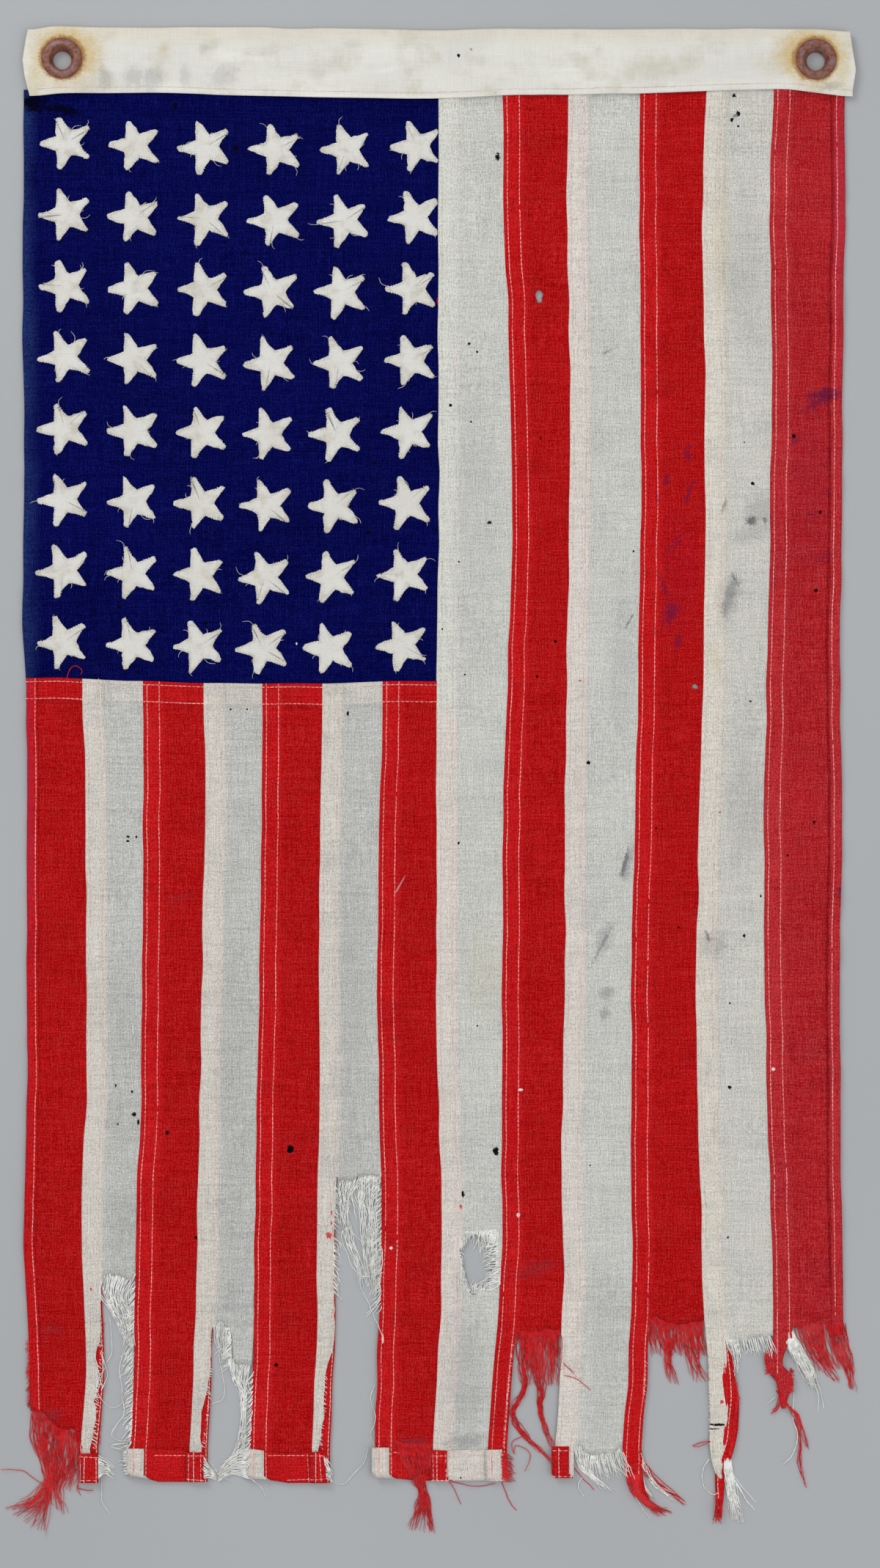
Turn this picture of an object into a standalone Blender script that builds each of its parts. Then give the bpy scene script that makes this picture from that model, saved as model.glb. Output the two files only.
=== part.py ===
"""A small boat flag laid flat with its heading at +Y, worn to tatters at its fly end.

Thirteen bunting stripes, a canton with sewn-on stars, a folded canvas heading and two grommets.
Every length below is in millimetres, and MM turns it into metres. The cloth rests on Z = 0, X runs
across the hoist and -Y along the fly. Neighbouring stripes are joined by felled seams: the left edge
of each stripe laps over an allowance of the stripe before it, one layer higher.
"""

from math import cos, pi, sin

import bmesh
import bpy
from mathutils import Vector

MM = 0.001

CLOTH = 1.0                      # thickness of a layer of cloth
GAP = 0.3                        # clear space left between two pieces
LAYER = CLOTH + GAP              # rise from one layer to the next
LAP = 9.3                        # width of a felled seam
RAMP = 2.0                       # length over which a cloth climbs a layer
ALLOWANCE = LAP - 0.5            # cloth left under the lap of the next stripe
SIDE_HEM = 5.4                   # width folded over at the two long edges
BAND = 10.4                      # lap of the short stripes over the canton
TUCK = 3.2                       # depth of cloth held inside the heading
FLY_HEM_TOP = -338.0             # inner edge of the hem at the fly end
FLY_FOLD = -354.6                # outermost line of that hem
FOLD_ROUND = 0.3                 # rounding of a fold's outer corners

STRIPES = 13
FIRST_LONG = 8                   # stripes 8 to 13 run the full length beside the canton

HEM_ROWS = 5                     # rows of a grid line around the hem at the fly
BAND_ROWS = 2                    # rows of a short stripe that lie over the canton
PANEL_LINE = 3                   # number of the first line inside a stripe's panel

# Level of a seam's two strips, that of their folded hem, and the line where they fold.
STRIP_LEVELS = {
    # strip: level, turned level, fold
    "lap": (LAYER, 2 * LAYER, FLY_FOLD + LAYER),
    "allowance": (0.0, 3 * LAYER, FLY_FOLD),
}

# Left edge of each long stripe and the flag's right edge, by station along the fly.
LONG_SEAMS = (
    # y,  s8,  s9,   s10,  s11,   s12,   s13,   right
    (330, 2.5, 33.0, 65.0, 100.0, 132.5, 165.5, 200.0),
    (265, 1.5, 34.0, 64.5, 100.0, 130.5, 163.0, 200.0),
    (190, 2.0, 37.0, 66.0, 101.0, 132.0, 165.0, 199.0),
    (110, 2.5, 38.0, 66.0, 100.5, 132.0, 163.5, 198.5),
    (40, 1.0, 36.0, 64.5, 99.5, 131.0, 162.0, 197.5),
    (-35, 1.0, 33.5, 63.5, 97.5, 129.0, 160.5, 198.5),
    (-115, 1.0, 33.0, 64.0, 96.0, 127.5, 161.0, 197.5),
    (-165, 2.0, 33.0, 62.5, 96.0, 128.0, 162.0, 197.5),
    (-210, 3.5, 33.0, 62.0, 96.0, 129.5, 163.5, 198.0),
    (-245, 4.0, 33.0, 63.5, 96.5, 130.5, 165.0, 198.5),
    (-275, 3.0, 31.5, 62.0, 95.5, 131.5, 165.0, 199.5),
    (-300, 1.5, 29.0, 61.0, 94.5, 134.0, 164.0, 201.0),
    (-338, -1.0, 26.0, 59.0, 92.0, 134.0, 164.0, 203.0),
)

# Left edge of each short stripe, by station along the fly.
SHORT_SEAMS = (
    # y,  s1,     s2,     s3,     s4,     s5,    s6,    s7
    (36, -198.0, -171.5, -142.0, -112.0, -83.5, -54.5, -25.0),
    (0, -198.5, -170.0, -141.5, -111.5, -83.5, -54.5, -25.5),
    (-60, -198.5, -169.5, -142.0, -112.0, -84.5, -56.0, -27.5),
    (-110, -198.0, -169.0, -142.0, -113.0, -85.0, -56.0, -27.5),
    (-165, -198.0, -169.0, -142.5, -114.0, -86.0, -56.0, -27.0),
    (-210, -199.5, -171.5, -144.5, -115.0, -86.5, -56.5, -26.0),
    (-245, -199.5, -171.5, -145.5, -115.5, -87.5, -57.0, -26.0),
    (-275, -198.0, -169.5, -146.0, -116.5, -88.0, -57.0, -26.5),
    (-300, -196.5, -169.0, -146.0, -117.0, -88.0, -58.0, -28.0),
    (-338, -196.5, -172.0, -148.0, -119.0, -90.0, -59.5, -28.5),
)

# Left edge of the canton.
CANTON_LEFT = (
    # y,  x
    (330, -200.0),
    (190, -200.5),
    (168, -199.5),
    (110, -200.0),
    (60, -200.5),
    (42, -199.0),
    (20, -198.0),
)

# Lower edge of the canton, where the short stripes start.
CANTON_FOOT = (
    # x,     y
    (-200.0, 37.0),
    (-184.0, 37.7),
    (-147.0, 35.9),
    (-112.0, 34.6),
    (-54.0, 34.6),
    (-25.0, 35.6),
    (12.0, 35.9),
)

# Lower and upper edges of the heading.
HEADING_EDGES = (
    # x,     lower, upper
    (-200.0, 320.2, 352.9),
    (-183.0, 321.8, 354.3),
    (-135.0, 322.1, 353.9),
    (-61.0, 320.0, 353.6),
    (-23.0, 319.5, 352.9),
    (4.0, 319.1, 352.0),
    (32.0, 320.4, 353.1),
    (64.0, 321.2, 352.7),
    (100.0, 321.4, 353.2),
    (132.0, 322.9, 353.0),
    (165.0, 323.6, 353.1),
    (183.0, 322.9, 352.8),
    (203.0, 320.2, 351.9),
)
HEADING_ENDS = (
    # y,   left,   right
    (320.0, -196.6, 202.1),
    (335.0, -200.4, 205.2),
    (353.0, -197.5, 202.3),
)

# Torn edge of a stripe's cloth, at its left and right.
TEARS = {
    # stripe: left y, right y
    1: (-321, -339),
    2: (-253, -255),
    4: (-278, -297),
    6: (-205, -206),
    9: (-286, -281),
    10: (-337, -338),
    11: (-276, -277),
    12: (-283, -285),
    13: (-278, -276),
}
TEAR_STEP = 1.2                  # how far the torn edge steps from tooth to tooth

# Combs of hanging threads along the torn edges, left to right in each stripe.
TEETH = (
    # stripe, root from the stripe's left edge, width, tip x, tip y
    (1, 10.0, 4.5, -208.0, -365.0),
    (1, 16.5, 4.5, -193.5, -377.0),
    (1, 22.5, 3.5, -183.0, -362.0),
    (2, 13.5, 2.5, -158.5, -278.0),
    (2, 17.0, 2.5, -154.5, -296.0),
    (2, 20.5, 2.5, -151.0, -331.0),
    (4, 13.0, 2.5, -103.0, -322.0),
    (4, 17.5, 3.0, -97.5, -338.0),
    (4, 22.5, 2.5, -92.8, -345.0),
    (6, 13.0, 2.0, -44.0, -224.0),
    (6, 17.0, 2.5, -38.0, -243.0),
    (6, 22.5, 4.0, -32.0, -264.0),
    (9, 13.5, 4.0, 43.0, -312.0),
    (9, 19.5, 4.0, 50.0, -344.0),
    (9, 25.5, 3.5, 55.0, -349.0),
    (10, 13.0, 2.5, 72.0, -352.0),
    (10, 17.5, 2.5, 76.0, -357.0),
    (10, 22.0, 2.5, 81.0, -354.0),
    (10, 26.5, 2.5, 86.0, -358.0),
    (11, 13.5, 3.5, 107.5, -303.0),
    (11, 19.5, 4.0, 113.0, -310.0),
    (11, 26.5, 4.5, 124.0, -306.0),
    (12, 13.5, 2.5, 145.5, -301.0),
    (12, 18.0, 2.5, 151.0, -296.0),
    (12, 23.5, 3.0, 157.5, -308.0),
    (13, 24.0, 3.0, 189.5, -298.0),
    (13, 28.5, 3.0, 196.0, -305.0),
    (13, 32.0, 2.5, 203.5, -310.0),
)
TOOTH_TIP = 1.2                  # width of a comb tooth at its tip
TOOTH_MID = 0.7                  # share of its root width halfway down

# Torn ends of the seams: where the lap or the allowance leaves its line, and the tail it hangs in.
TAILS = {
    # stripe and strip: (x, y, width) down the tail
    (10, "allowance"): ((96.0, -348.0, 6.0), (104.0, -360.0, 2.5), (112.0, -364.0, 1.2)),
    (11, "lap"): ((98.0, -352.0, 7.0), (106.0, -366.0, 5.0), (123.0, -371.0, 1.6)),
    (11, "allowance"): ((142.0, -341.0, 6.0), (140.5, -354.0, 4.0), (139.0, -373.0, 1.6)),
    (12, "lap"): ((141.0, -347.0, 8.0), (145.0, -360.0, 6.0), (146.0, -375.0, 2.0)),
    (12, "allowance"): ((170.5, -290.0, 6.5), (178.0, -303.0, 5.0), (184.0, -318.0, 1.6)),
    (13, "lap"): ((169.0, -297.0, 7.0), (167.0, -314.0, 5.0), (170.0, -357.0, 1.6)),
}
TAIL_START = {
    # stripe and strip: y where its tail begins
    (10, "allowance"): -338,
    (11, "lap"): -338,
    (11, "allowance"): -328,
    (12, "lap"): -334,
    (12, "allowance"): -283,
    (13, "lap"): -284,
}

# Tuft pulled out of the hem of stripe 7: distances from the stripe's left edge, and its tip.
TUFT_STRIPE = 7
TUFT = {"left": 14.0, "middle": 19.0, "right": 24.0, "tip y": -378.0}

# Hole worn through stripe 8: distances from the stripe's left edge, and its ends along the fly.
HOLE_STRIPE = 8
HOLE = {"left": 12.0, "middle": 17.0, "right": 23.0, "upper y": -232.0, "lower y": -261.0}
HOLE_BULGE = 2.0                 # how far its ends round out in the middle

# Stars: a column's place at the top row and the bottom row, and how far it sags below the first.
STAR_COLUMNS = (
    # top x, bottom x, sag
    (-179.0, -180.5, 0.0),
    (-145.5, -146.8, 1.2),
    (-111.0, -114.3, 1.9),
    (-76.8, -83.2, 3.0),
    (-42.5, -51.1, 3.0),
    (-8.4, -15.4, 1.6),
)
STAR_ROWS = 8
STAR_TOP_ROW = 297.5
STAR_PITCH = 34.7
STAR_RADIUS = 13.2
STAR_WAIST = 0.42                # inner radius as a share of the outer
STAR_RISE = 0.6                  # a star's thickness above the canton
STAR_MARGIN = 0.4                # a star stops this short of stripe 8's lap

# Grommets: a barrel with a front flange, and a washer behind.
GROMMETS = {"left": (-181.0, 338.5), "right": (185.7, 338.0)}
GROMMET_BORE = 4.3               # radius of the hole
GROMMET_BARREL = 5.0             # outer radius of the barrel
GROMMET_FLANGE = 9.8             # outer radius of the front flange
GROMMET_WASHER = 8.6             # outer radius of the washer behind
WASHER_THICK = 0.8
GROMMET_SIDES = 28
HEADING_LIFT = WASHER_THICK + GAP
LIFT_FULL = 11.0                 # the heading is lifted to this distance from a grommet
LIFT_FADE = 26.0                 # and lies on the surface from this distance on
TUCK_STACK = 3 * LAYER           # height of the heading's front layer over the tucked cloth
FRONT_FLOOR = HEADING_LIFT + LAYER + CLOTH + GAP     # underside of a grommet's flange

MATERIALS = {
    # name: colour, roughness, metallic
    "red bunting": ((0.52, 0.010, 0.014), 0.85, 0.0),
    "white bunting": ((0.60, 0.62, 0.57), 0.85, 0.0),
    "navy bunting": ((0.004, 0.005, 0.065), 0.9, 0.0),
    "canvas": ((0.74, 0.71, 0.61), 0.9, 0.0),
    "rusted brass": ((0.26, 0.15, 0.13), 0.6, 0.6),
}


def clear_scene():
    for thing in list(bpy.data.objects):
        bpy.data.objects.remove(thing, do_unlink=True)


def make_material(name):
    colour, roughness, metallic = MATERIALS[name]
    material = bpy.data.materials.new(name)
    material.use_nodes = True
    shader = material.node_tree.nodes["Principled BSDF"]
    shader.inputs["Base Color"].default_value = (*colour, 1.0)
    shader.inputs["Roughness"].default_value = roughness
    shader.inputs["Metallic"].default_value = metallic
    return material


def between(table, place, column):
    """Value of a table's column at a place, straight between the rows on either side of it."""
    rows = sorted(table)
    place = min(max(place, rows[0][0]), rows[-1][0])
    for low, high in zip(rows, rows[1:]):
        if place <= high[0]:
            share = (place - low[0]) / (high[0] - low[0])
            return low[column] + share * (high[column] - low[column])
    return rows[-1][column]


def seam_x(stripe, y):
    """Left edge of a stripe; stripe 14 stands for the right edge of the last one."""
    if stripe >= FIRST_LONG:
        return between(LONG_SEAMS, y, stripe - FIRST_LONG + 1)
    return between(SHORT_SEAMS, y, stripe)


def heading_lower(x):
    return between(HEADING_EDGES, x, 1)


def heading_upper(x):
    return between(HEADING_EDGES, x, 2)


def canton_foot(x):
    return between(CANTON_FOOT, x, 1)


def flat_pair(x, y, level):
    """Underside and upper point of a layer that lies with its own underside down."""
    return Vector((x, y, level)), Vector((x, y, level + CLOTH))


def turned_pair(x, y, level):
    """The same for a layer folded over, whose underside now faces up."""
    return Vector((x, y, level + CLOTH)), Vector((x, y, level))


def fold_pairs(outside, level, turned_level):
    """Three pairs around a fold; outside(d) gives a point d inward of the fold's outermost line."""
    ends = ((FOLD_ROUND, level, level + CLOTH),
            (0.0, (level + turned_level + CLOTH) / 2, (level + turned_level + CLOTH) / 2),
            (FOLD_ROUND, turned_level + CLOTH, turned_level))
    pairs = []
    for inward, under_z, upper_z in ends:
        under = outside(inward)
        upper = outside(CLOTH)
        pairs.append((Vector((*under, under_z)), Vector((*upper, upper_z))))
    return pairs


def closed_sheet(name, lines, cells, material):
    """A closed solid between the underside and upper points of a grid of cloth cells.

    lines[u][v] is a pair of points or None; cells is the set of (u, v) squares that are cloth.
    """
    mesh = bmesh.new()
    corners = {}

    def corner(u, v, side):
        if (u, v, side) not in corners:
            corners[u, v, side] = mesh.verts.new(lines[u][v][side] * MM)
        return corners[u, v, side]

    for u, v in sorted(cells):
        ring = ((u, v), (u + 1, v), (u + 1, v + 1), (u, v + 1))
        mesh.faces.new([corner(*place, 1) for place in ring])
        mesh.faces.new([corner(*place, 0) for place in reversed(ring)])
        beside = ((u, v - 1), (u + 1, v), (u, v + 1), (u - 1, v))
        for index, neighbour in enumerate(beside):
            if neighbour not in cells:
                start, end = ring[index], ring[(index + 1) % 4]
                wall = (corner(*start, 0), corner(*end, 0), corner(*end, 1), corner(*start, 1))
                mesh.faces.new(wall)
    bmesh.ops.recalc_face_normals(mesh, faces=mesh.faces[:])
    bmesh.ops.dissolve_limit(mesh, angle_limit=0.0001, verts=mesh.verts[:], edges=mesh.edges[:])
    bmesh.ops.triangulate(mesh, faces=mesh.faces[:])
    return finish_object(name, mesh, material)


def finish_object(name, mesh, material):
    data = bpy.data.meshes.new(name)
    mesh.to_mesh(data)
    mesh.free()
    data.materials.append(material)
    thing = bpy.data.objects.new(name, data)
    bpy.context.scene.collection.objects.link(thing)
    return thing


def top_rows(stripe):
    """How a stripe's first three rows lie over the heading's back layer or over the canton.

    Each row is a function of x that gives y, and the height it is raised by.
    """
    if stripe >= FIRST_LONG:
        return ((lambda x: heading_lower(x) + TUCK, LAYER),
                (lambda x: heading_lower(x) - GAP, LAYER),
                (lambda x: heading_lower(x) - GAP - RAMP, 0.0))
    return ((canton_foot, LAYER),
            (lambda x: canton_foot(x) - BAND - GAP, LAYER),
            (lambda x: canton_foot(x) - BAND - GAP - RAMP, 0.0))


def stations(stripe):
    """The stations of a stripe's seams below its first rows."""
    table = LONG_SEAMS if stripe >= FIRST_LONG else SHORT_SEAMS
    first = table[0][0] - BAND - RAMP - 2 * GAP
    return [row[0] for row in table if row[0] < first]


def tooth_lines(stripe):
    """Distances from the stripe's left edge of the lines that its teeth, tuft or hole need."""
    if stripe == TUFT_STRIPE:
        return [TUFT["left"], TUFT["middle"], TUFT["right"]]
    if stripe == HOLE_STRIPE:
        return [HOLE["left"], HOLE["middle"], HOLE["right"]]
    places = []
    for row in TEETH:
        if row[0] == stripe:
            places += [row[1] - row[2] / 2, row[1] + row[2] / 2]
    return places


class Grid:
    """Lines of point pairs side by side, with the rows of cloth between each line and the last."""

    def __init__(self):
        self.lines = []
        self.spans = []

    def add(self, rows, last_row=None, first_row=0):
        self.lines.append(rows)
        self.spans.append((first_row, len(rows) if last_row is None else last_row))

    def cells(self):
        cells = set()
        for u in range(len(self.lines) - 1):
            first_row, last_row = self.spans[u + 1]
            rows = min(last_row, len(self.lines[u]), len(self.lines[u + 1]))
            cells |= {(u, v) for v in range(first_row, rows - 1)}
        return cells


def common_rows(stripe):
    """The rows that every line of a stripe has: a function of x that gives y, and the level."""
    lowest = min(TEARS[stripe]) + 2 * TEAR_STEP if stripe in TEARS else FLY_HEM_TOP
    middle = {y for y in stations(stripe) if y > lowest}
    if stripe == HOLE_STRIPE:
        middle = {y for y in middle if not HOLE["lower y"] < y < HOLE["upper y"]}
        middle |= {HOLE["upper y"], HOLE["lower y"]}
    return list(top_rows(stripe)) + [((lambda x, y=y: y), 0.0) for y in sorted(middle, reverse=True)]


def rows_down(common, x_at, rise):
    """The common rows of a line that runs at x_at(y), raised by rise."""
    rows = []
    for y_at, level in common:
        y = y_at(x_at(y_at(0.0)))
        rows.append(flat_pair(x_at(y), y, level + rise))
    return rows


def hem_rows(x_at, level, turned_level, outermost):
    """Rows of a line that ends in the hem at the fly."""
    rows = [flat_pair(x_at(FLY_HEM_TOP), FLY_HEM_TOP, level)]
    rows += fold_pairs(lambda inward: (x_at(outermost), outermost + inward), level, turned_level)
    rows.append(turned_pair(x_at(FLY_HEM_TOP), FLY_HEM_TOP, turned_level))
    return rows


def tail_rows(tail, side, level):
    """Rows of one side of a tail that narrows down its path; side is -1 left or +1 right."""
    rows = []
    for index, (x, y, width) in enumerate(tail):
        before = Vector(tail[max(index - 1, 0)][:2])
        after = Vector(tail[min(index + 1, len(tail) - 1)][:2])
        along = (after - before).normalized()
        across = Vector((-along.y, along.x)) * (side * width / 2)
        rows.append(flat_pair(x + across.x, y + across.y, level))
    return rows


def strip_rows(stripe, strip, x_at, side):
    """Rows of a lap or allowance line below the stripe's tear, down to its hem or its tail."""
    level, turned_level, outermost = STRIP_LEVELS[strip]
    start = min(TEARS[stripe]) if stripe in TEARS else FLY_HEM_TOP
    tail = TAILS.get((stripe, strip))
    last = TAIL_START[stripe, strip] if tail else FLY_HEM_TOP
    rows = [flat_pair(x_at(y), y, level) for y in stations(stripe) if last < y < start]
    if tail:
        rows.append(flat_pair(x_at(last), last, level))
        return rows + tail_rows(tail, side, level)
    return rows + hem_rows(x_at, level, turned_level, outermost)


def panel_end(stripe, x_at, share, step):
    """Rows that end a line of the panel: its torn edge, or its hem."""
    if stripe in TEARS:
        y = tear_y(stripe, share, step)
        return [flat_pair(x_at(y), y, 0.0)]
    return hem_rows(x_at, 0.0, LAYER, FLY_FOLD)


def tooth_rows(stripe, line, root):
    """Rows of one side of a comb tooth below its root."""
    tooth = [row for row in TEETH if row[0] == stripe][line // 2]
    side = -1 if line % 2 == 0 else 1
    width, tip_x, tip_y = tooth[2:]
    middle_x = (root.x - side * width / 2 + tip_x) / 2
    middle_y = (root.y + tip_y) / 2
    return [flat_pair(middle_x + side * width * TOOTH_MID / 2, middle_y, 0.0),
            flat_pair(tip_x + side * TOOTH_TIP / 2, tip_y, 0.0)]


def side_hem_lines(common, edge_at, inward, end_y):
    """Four lines around the fold of a side hem, from the panel outward and back over it."""
    lines = [[], [], [], []]
    for y_at, level in common + [((lambda x: end_y), 0.0)]:
        y = y_at(edge_at(0.0))
        edge = edge_at(y)
        around = fold_pairs(lambda depth: (edge + inward * depth, y), level, level + LAYER)
        around.append(turned_pair(edge + inward * SIDE_HEM, y, level + LAYER))
        for line, pair in zip(lines, around):
            line.append(pair)
    return lines


def tear_y(stripe, share, step):
    left, right = TEARS[stripe]
    return left + share * (right - left) + TEAR_STEP * (1 if step % 2 else -1)


def add_left_edge(grid, stripe, common, panel_rows):
    """The side hem of stripe 1, or the lap over the stripe before and the slope down from it."""
    def own_x(y):
        return seam_x(stripe, y)

    if stripe == 1:
        for line in reversed(side_hem_lines(common, own_x, 1, tear_y(stripe, 0.0, 0))):
            grid.add(line, panel_rows)
        return
    for side, width in ((-1, 0.0), (1, LAP)):
        def lap_x(y):
            return own_x(y) + width
        grid.add(rows_down(common, lap_x, LAYER) + strip_rows(stripe, "lap", lap_x, side))

    def panel_x(y):
        return own_x(y) + LAP + RAMP
    grid.add(rows_down(common, panel_x, 0.0) + panel_end(stripe, panel_x, 0.0, 0), panel_rows)


def add_panel(grid, stripe, common, panel_rows):
    """Lines across the panel, two for each tooth of a torn stripe's comb."""
    places = tooth_lines(stripe)
    for index, place in enumerate(places):
        def line_x(y):
            return seam_x(stripe, y) + place
        share = (index + 1) / (len(places) + 1)
        rows = rows_down(common, line_x, 0.0) + panel_end(stripe, line_x, share, index // 2)
        last_row = panel_rows
        if stripe in TEARS:
            teeth = tooth_rows(stripe, index, rows[-1][0])
            rows += teeth
            last_row += len(teeth) * (index % 2)
        grid.add(rows, last_row)


def add_right_edge(grid, stripe, common, panel_rows):
    """The side hem of the last stripe, or the allowance that runs under the next stripe's lap."""
    def next_x(y):
        return seam_x(stripe + 1, y)

    if stripe == STRIPES:
        for line in side_hem_lines(common, next_x, -1, tear_y(stripe, 1.0, 0)):
            grid.add(line, panel_rows)
        return

    def panel_x(y):
        return next_x(y) - RAMP - 2 * GAP
    grid.add(rows_down(common, panel_x, 0.0) + panel_end(stripe, panel_x, 1.0, 0), panel_rows)
    for side, width in ((-1, -GAP), (1, ALLOWANCE)):
        def strip_x(y):
            return next_x(y) + width
        rows = rows_down(common, strip_x, 0.0) + strip_rows(stripe, "allowance", strip_x, side)
        beside_canton = stripe == FIRST_LONG - 1 and side == 1
        grid.add(rows, panel_rows if side == -1 else None, BAND_ROWS if beside_canton else 0)


def pull_tuft(grid, fold_row):
    """Draws the outer side of the hem's fold out to the tip of the tuft."""
    under = grid.lines[PANEL_LINE + 1][fold_row][0]
    under.x = seam_x(TUFT_STRIPE, FLY_HEM_TOP) + TUFT["middle"]
    under.y = TUFT["tip y"]


def round_hole(grid, row):
    """Rounds the two ends of the hole, whose upper edge is at a row of the grid."""
    for side in (0, 1):
        grid.lines[PANEL_LINE + 1][row][side].y += HOLE_BULGE
        grid.lines[PANEL_LINE + 1][row + 1][side].y -= HOLE_BULGE


def make_stripe(stripe, material):
    """One stripe: lap, panel and allowance, with its hems, torn comb, tails, tuft or hole."""
    common = common_rows(stripe)
    panel_rows = len(common) + (1 if stripe in TEARS else HEM_ROWS)
    grid = Grid()
    add_left_edge(grid, stripe, common, panel_rows)
    add_panel(grid, stripe, common, panel_rows)
    add_right_edge(grid, stripe, common, panel_rows)
    cells = grid.cells()
    if stripe == TUFT_STRIPE:
        pull_tuft(grid, len(common) + HEM_ROWS // 2)
    if stripe == HOLE_STRIPE:
        row = [y_at(0.0) for y_at, _ in common].index(HOLE["upper y"])
        cells -= {(PANEL_LINE, row), (PANEL_LINE + 1, row)}
        round_hole(grid, row)
    return closed_sheet(f"stripe_{stripe:02d}", grid.lines, cells, material)


def star_outline(x, y, limit):
    """A five-pointed star with one point toward -X, kept clear of the lap at its right."""
    points = []
    for step in range(10):
        radius = STAR_RADIUS if step % 2 == 0 else STAR_RADIUS * STAR_WAIST
        angle = pi + step * pi / 5
        points.append((min(x + radius * cos(angle), limit), y + radius * sin(angle)))
    return points


def star_patches():
    """The raised stars as prisms that stand through the canton's cloth, as a hidden cutter."""
    mesh = bmesh.new()
    for row in range(STAR_ROWS):
        for top_x, bottom_x, sag in STAR_COLUMNS:
            x = top_x + (bottom_x - top_x) * row / (STAR_ROWS - 1)
            y = STAR_TOP_ROW - STAR_PITCH * row - sag
            outline = star_outline(x, y, seam_x(FIRST_LONG, y) - STAR_MARGIN)
            foot = [mesh.verts.new(Vector((px, py, CLOTH / 2)) * MM) for px, py in outline]
            head = [mesh.verts.new(Vector((px, py, CLOTH + STAR_RISE)) * MM) for px, py in outline]
            mesh.faces.new(list(reversed(foot)))
            mesh.faces.new(head)
            for index in range(len(outline)):
                after = (index + 1) % len(outline)
                mesh.faces.new((foot[index], foot[after], head[after], head[index]))
    data = bpy.data.meshes.new("star_patches")
    mesh.to_mesh(data)
    mesh.free()
    patches = bpy.data.objects.new("star_patches", data)
    bpy.context.scene.collection.objects.link(patches)
    patches.hide_render = True
    patches.display_type = "WIRE"
    return patches


def make_canton(material):
    """The canton, tucked into the heading, with its stars raised on it."""
    heads = top_rows(FIRST_LONG)
    rows = [(y_at, level) for y_at, level in heads]
    rows += [((lambda x, y=y: y), 0.0) for y, _ in CANTON_LEFT if 40 < y < 300]
    rows.append(((lambda x: canton_foot(x) - BAND), 0.0))
    places = [None] + [x for x, _, _ in HEADING_EDGES if -190 < x < 0] + [None]
    lines = []
    for index, place in enumerate(places):
        line = []
        for y_at, level in rows:
            y = y_at(0.0 if place is None else place)
            if index == 0:
                x = between(CANTON_LEFT, y, 1)
            elif place is None:
                x = seam_x(FIRST_LONG, y) + ALLOWANCE
            else:
                x = place
            line.append(flat_pair(x, y_at(x), level))
        lines.append(line)
    cells = {(u, v) for u in range(len(lines) - 1) for v in range(len(rows) - 1)}
    canton = closed_sheet("canton", lines, cells, material)
    union = canton.modifiers.new("stars", "BOOLEAN")
    union.operation = "UNION"
    union.object = star_patches()
    return canton


def lift(x):
    """How far the heading is lifted by the washers behind it: fully from each one to its end."""
    distance = min(x - GROMMETS["left"][0], GROMMETS["right"][0] - x)
    share = (LIFT_FADE - distance) / (LIFT_FADE - LIFT_FULL)
    return HEADING_LIFT * min(max(share, 0.0), 1.0)


def heading_places():
    """Stations along the heading: its edges' own, and those where its lift starts and ends."""
    places = {x for x, _, _ in HEADING_EDGES if -190 < x < 183}
    left, right = GROMMETS["left"][0], GROMMETS["right"][0]
    places |= {left + LIFT_FULL, left + LIFT_FADE, right - LIFT_FULL, right - LIFT_FADE}
    return sorted(places)


def heading_line(x_at):
    """The heading's section: back layer, fold at the top edge and front layer over the tuck."""
    x = x_at(335.0)
    lower, upper, rise = heading_lower(x), heading_upper(x), lift(x)
    held, clear, near_fold = lower + TUCK + GAP, lower + TUCK + RAMP, upper - 4.0
    rows = [flat_pair(x_at(y), y, level)
            for y, level in ((lower, 0.0), (held, 0.0), (clear, rise), (near_fold, rise))]
    rows += fold_pairs(lambda inward: (x_at(upper), upper - inward), rise, rise + LAYER)
    rows += [turned_pair(x_at(y), y, level)
             for y, level in ((near_fold, rise + LAYER), (clear, rise + LAYER),
                              (held, TUCK_STACK), (lower, TUCK_STACK))]
    return rows


def make_heading(material):
    """The folded canvas heading, with a hole at each grommet."""
    ends = [lambda y: between(HEADING_ENDS, y, 1)]
    ends += [lambda y, x=x: x for x in heading_places()]
    ends.append(lambda y: between(HEADING_ENDS, y, 2))
    lines = [heading_line(x_at) for x_at in ends]
    cells = {(u, v) for u in range(len(lines) - 1) for v in range(len(lines[0]) - 1)}
    heading = closed_sheet("heading", lines, cells, material)
    for side, (x, y) in GROMMETS.items():
        cutter = turned_ring(f"hole_{side}", x, y, (
            (0.0, -GROMMET_FLANGE), (GROMMET_BARREL + GAP, -GROMMET_FLANGE),
            (GROMMET_BARREL + GAP, GROMMET_FLANGE), (0.0, GROMMET_FLANGE)), material)
        cutter.hide_render = True
        cutter.display_type = "WIRE"
        cut = heading.modifiers.new(f"hole {side}", "BOOLEAN")
        cut.operation = "DIFFERENCE"
        cut.object = cutter
    return heading


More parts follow.
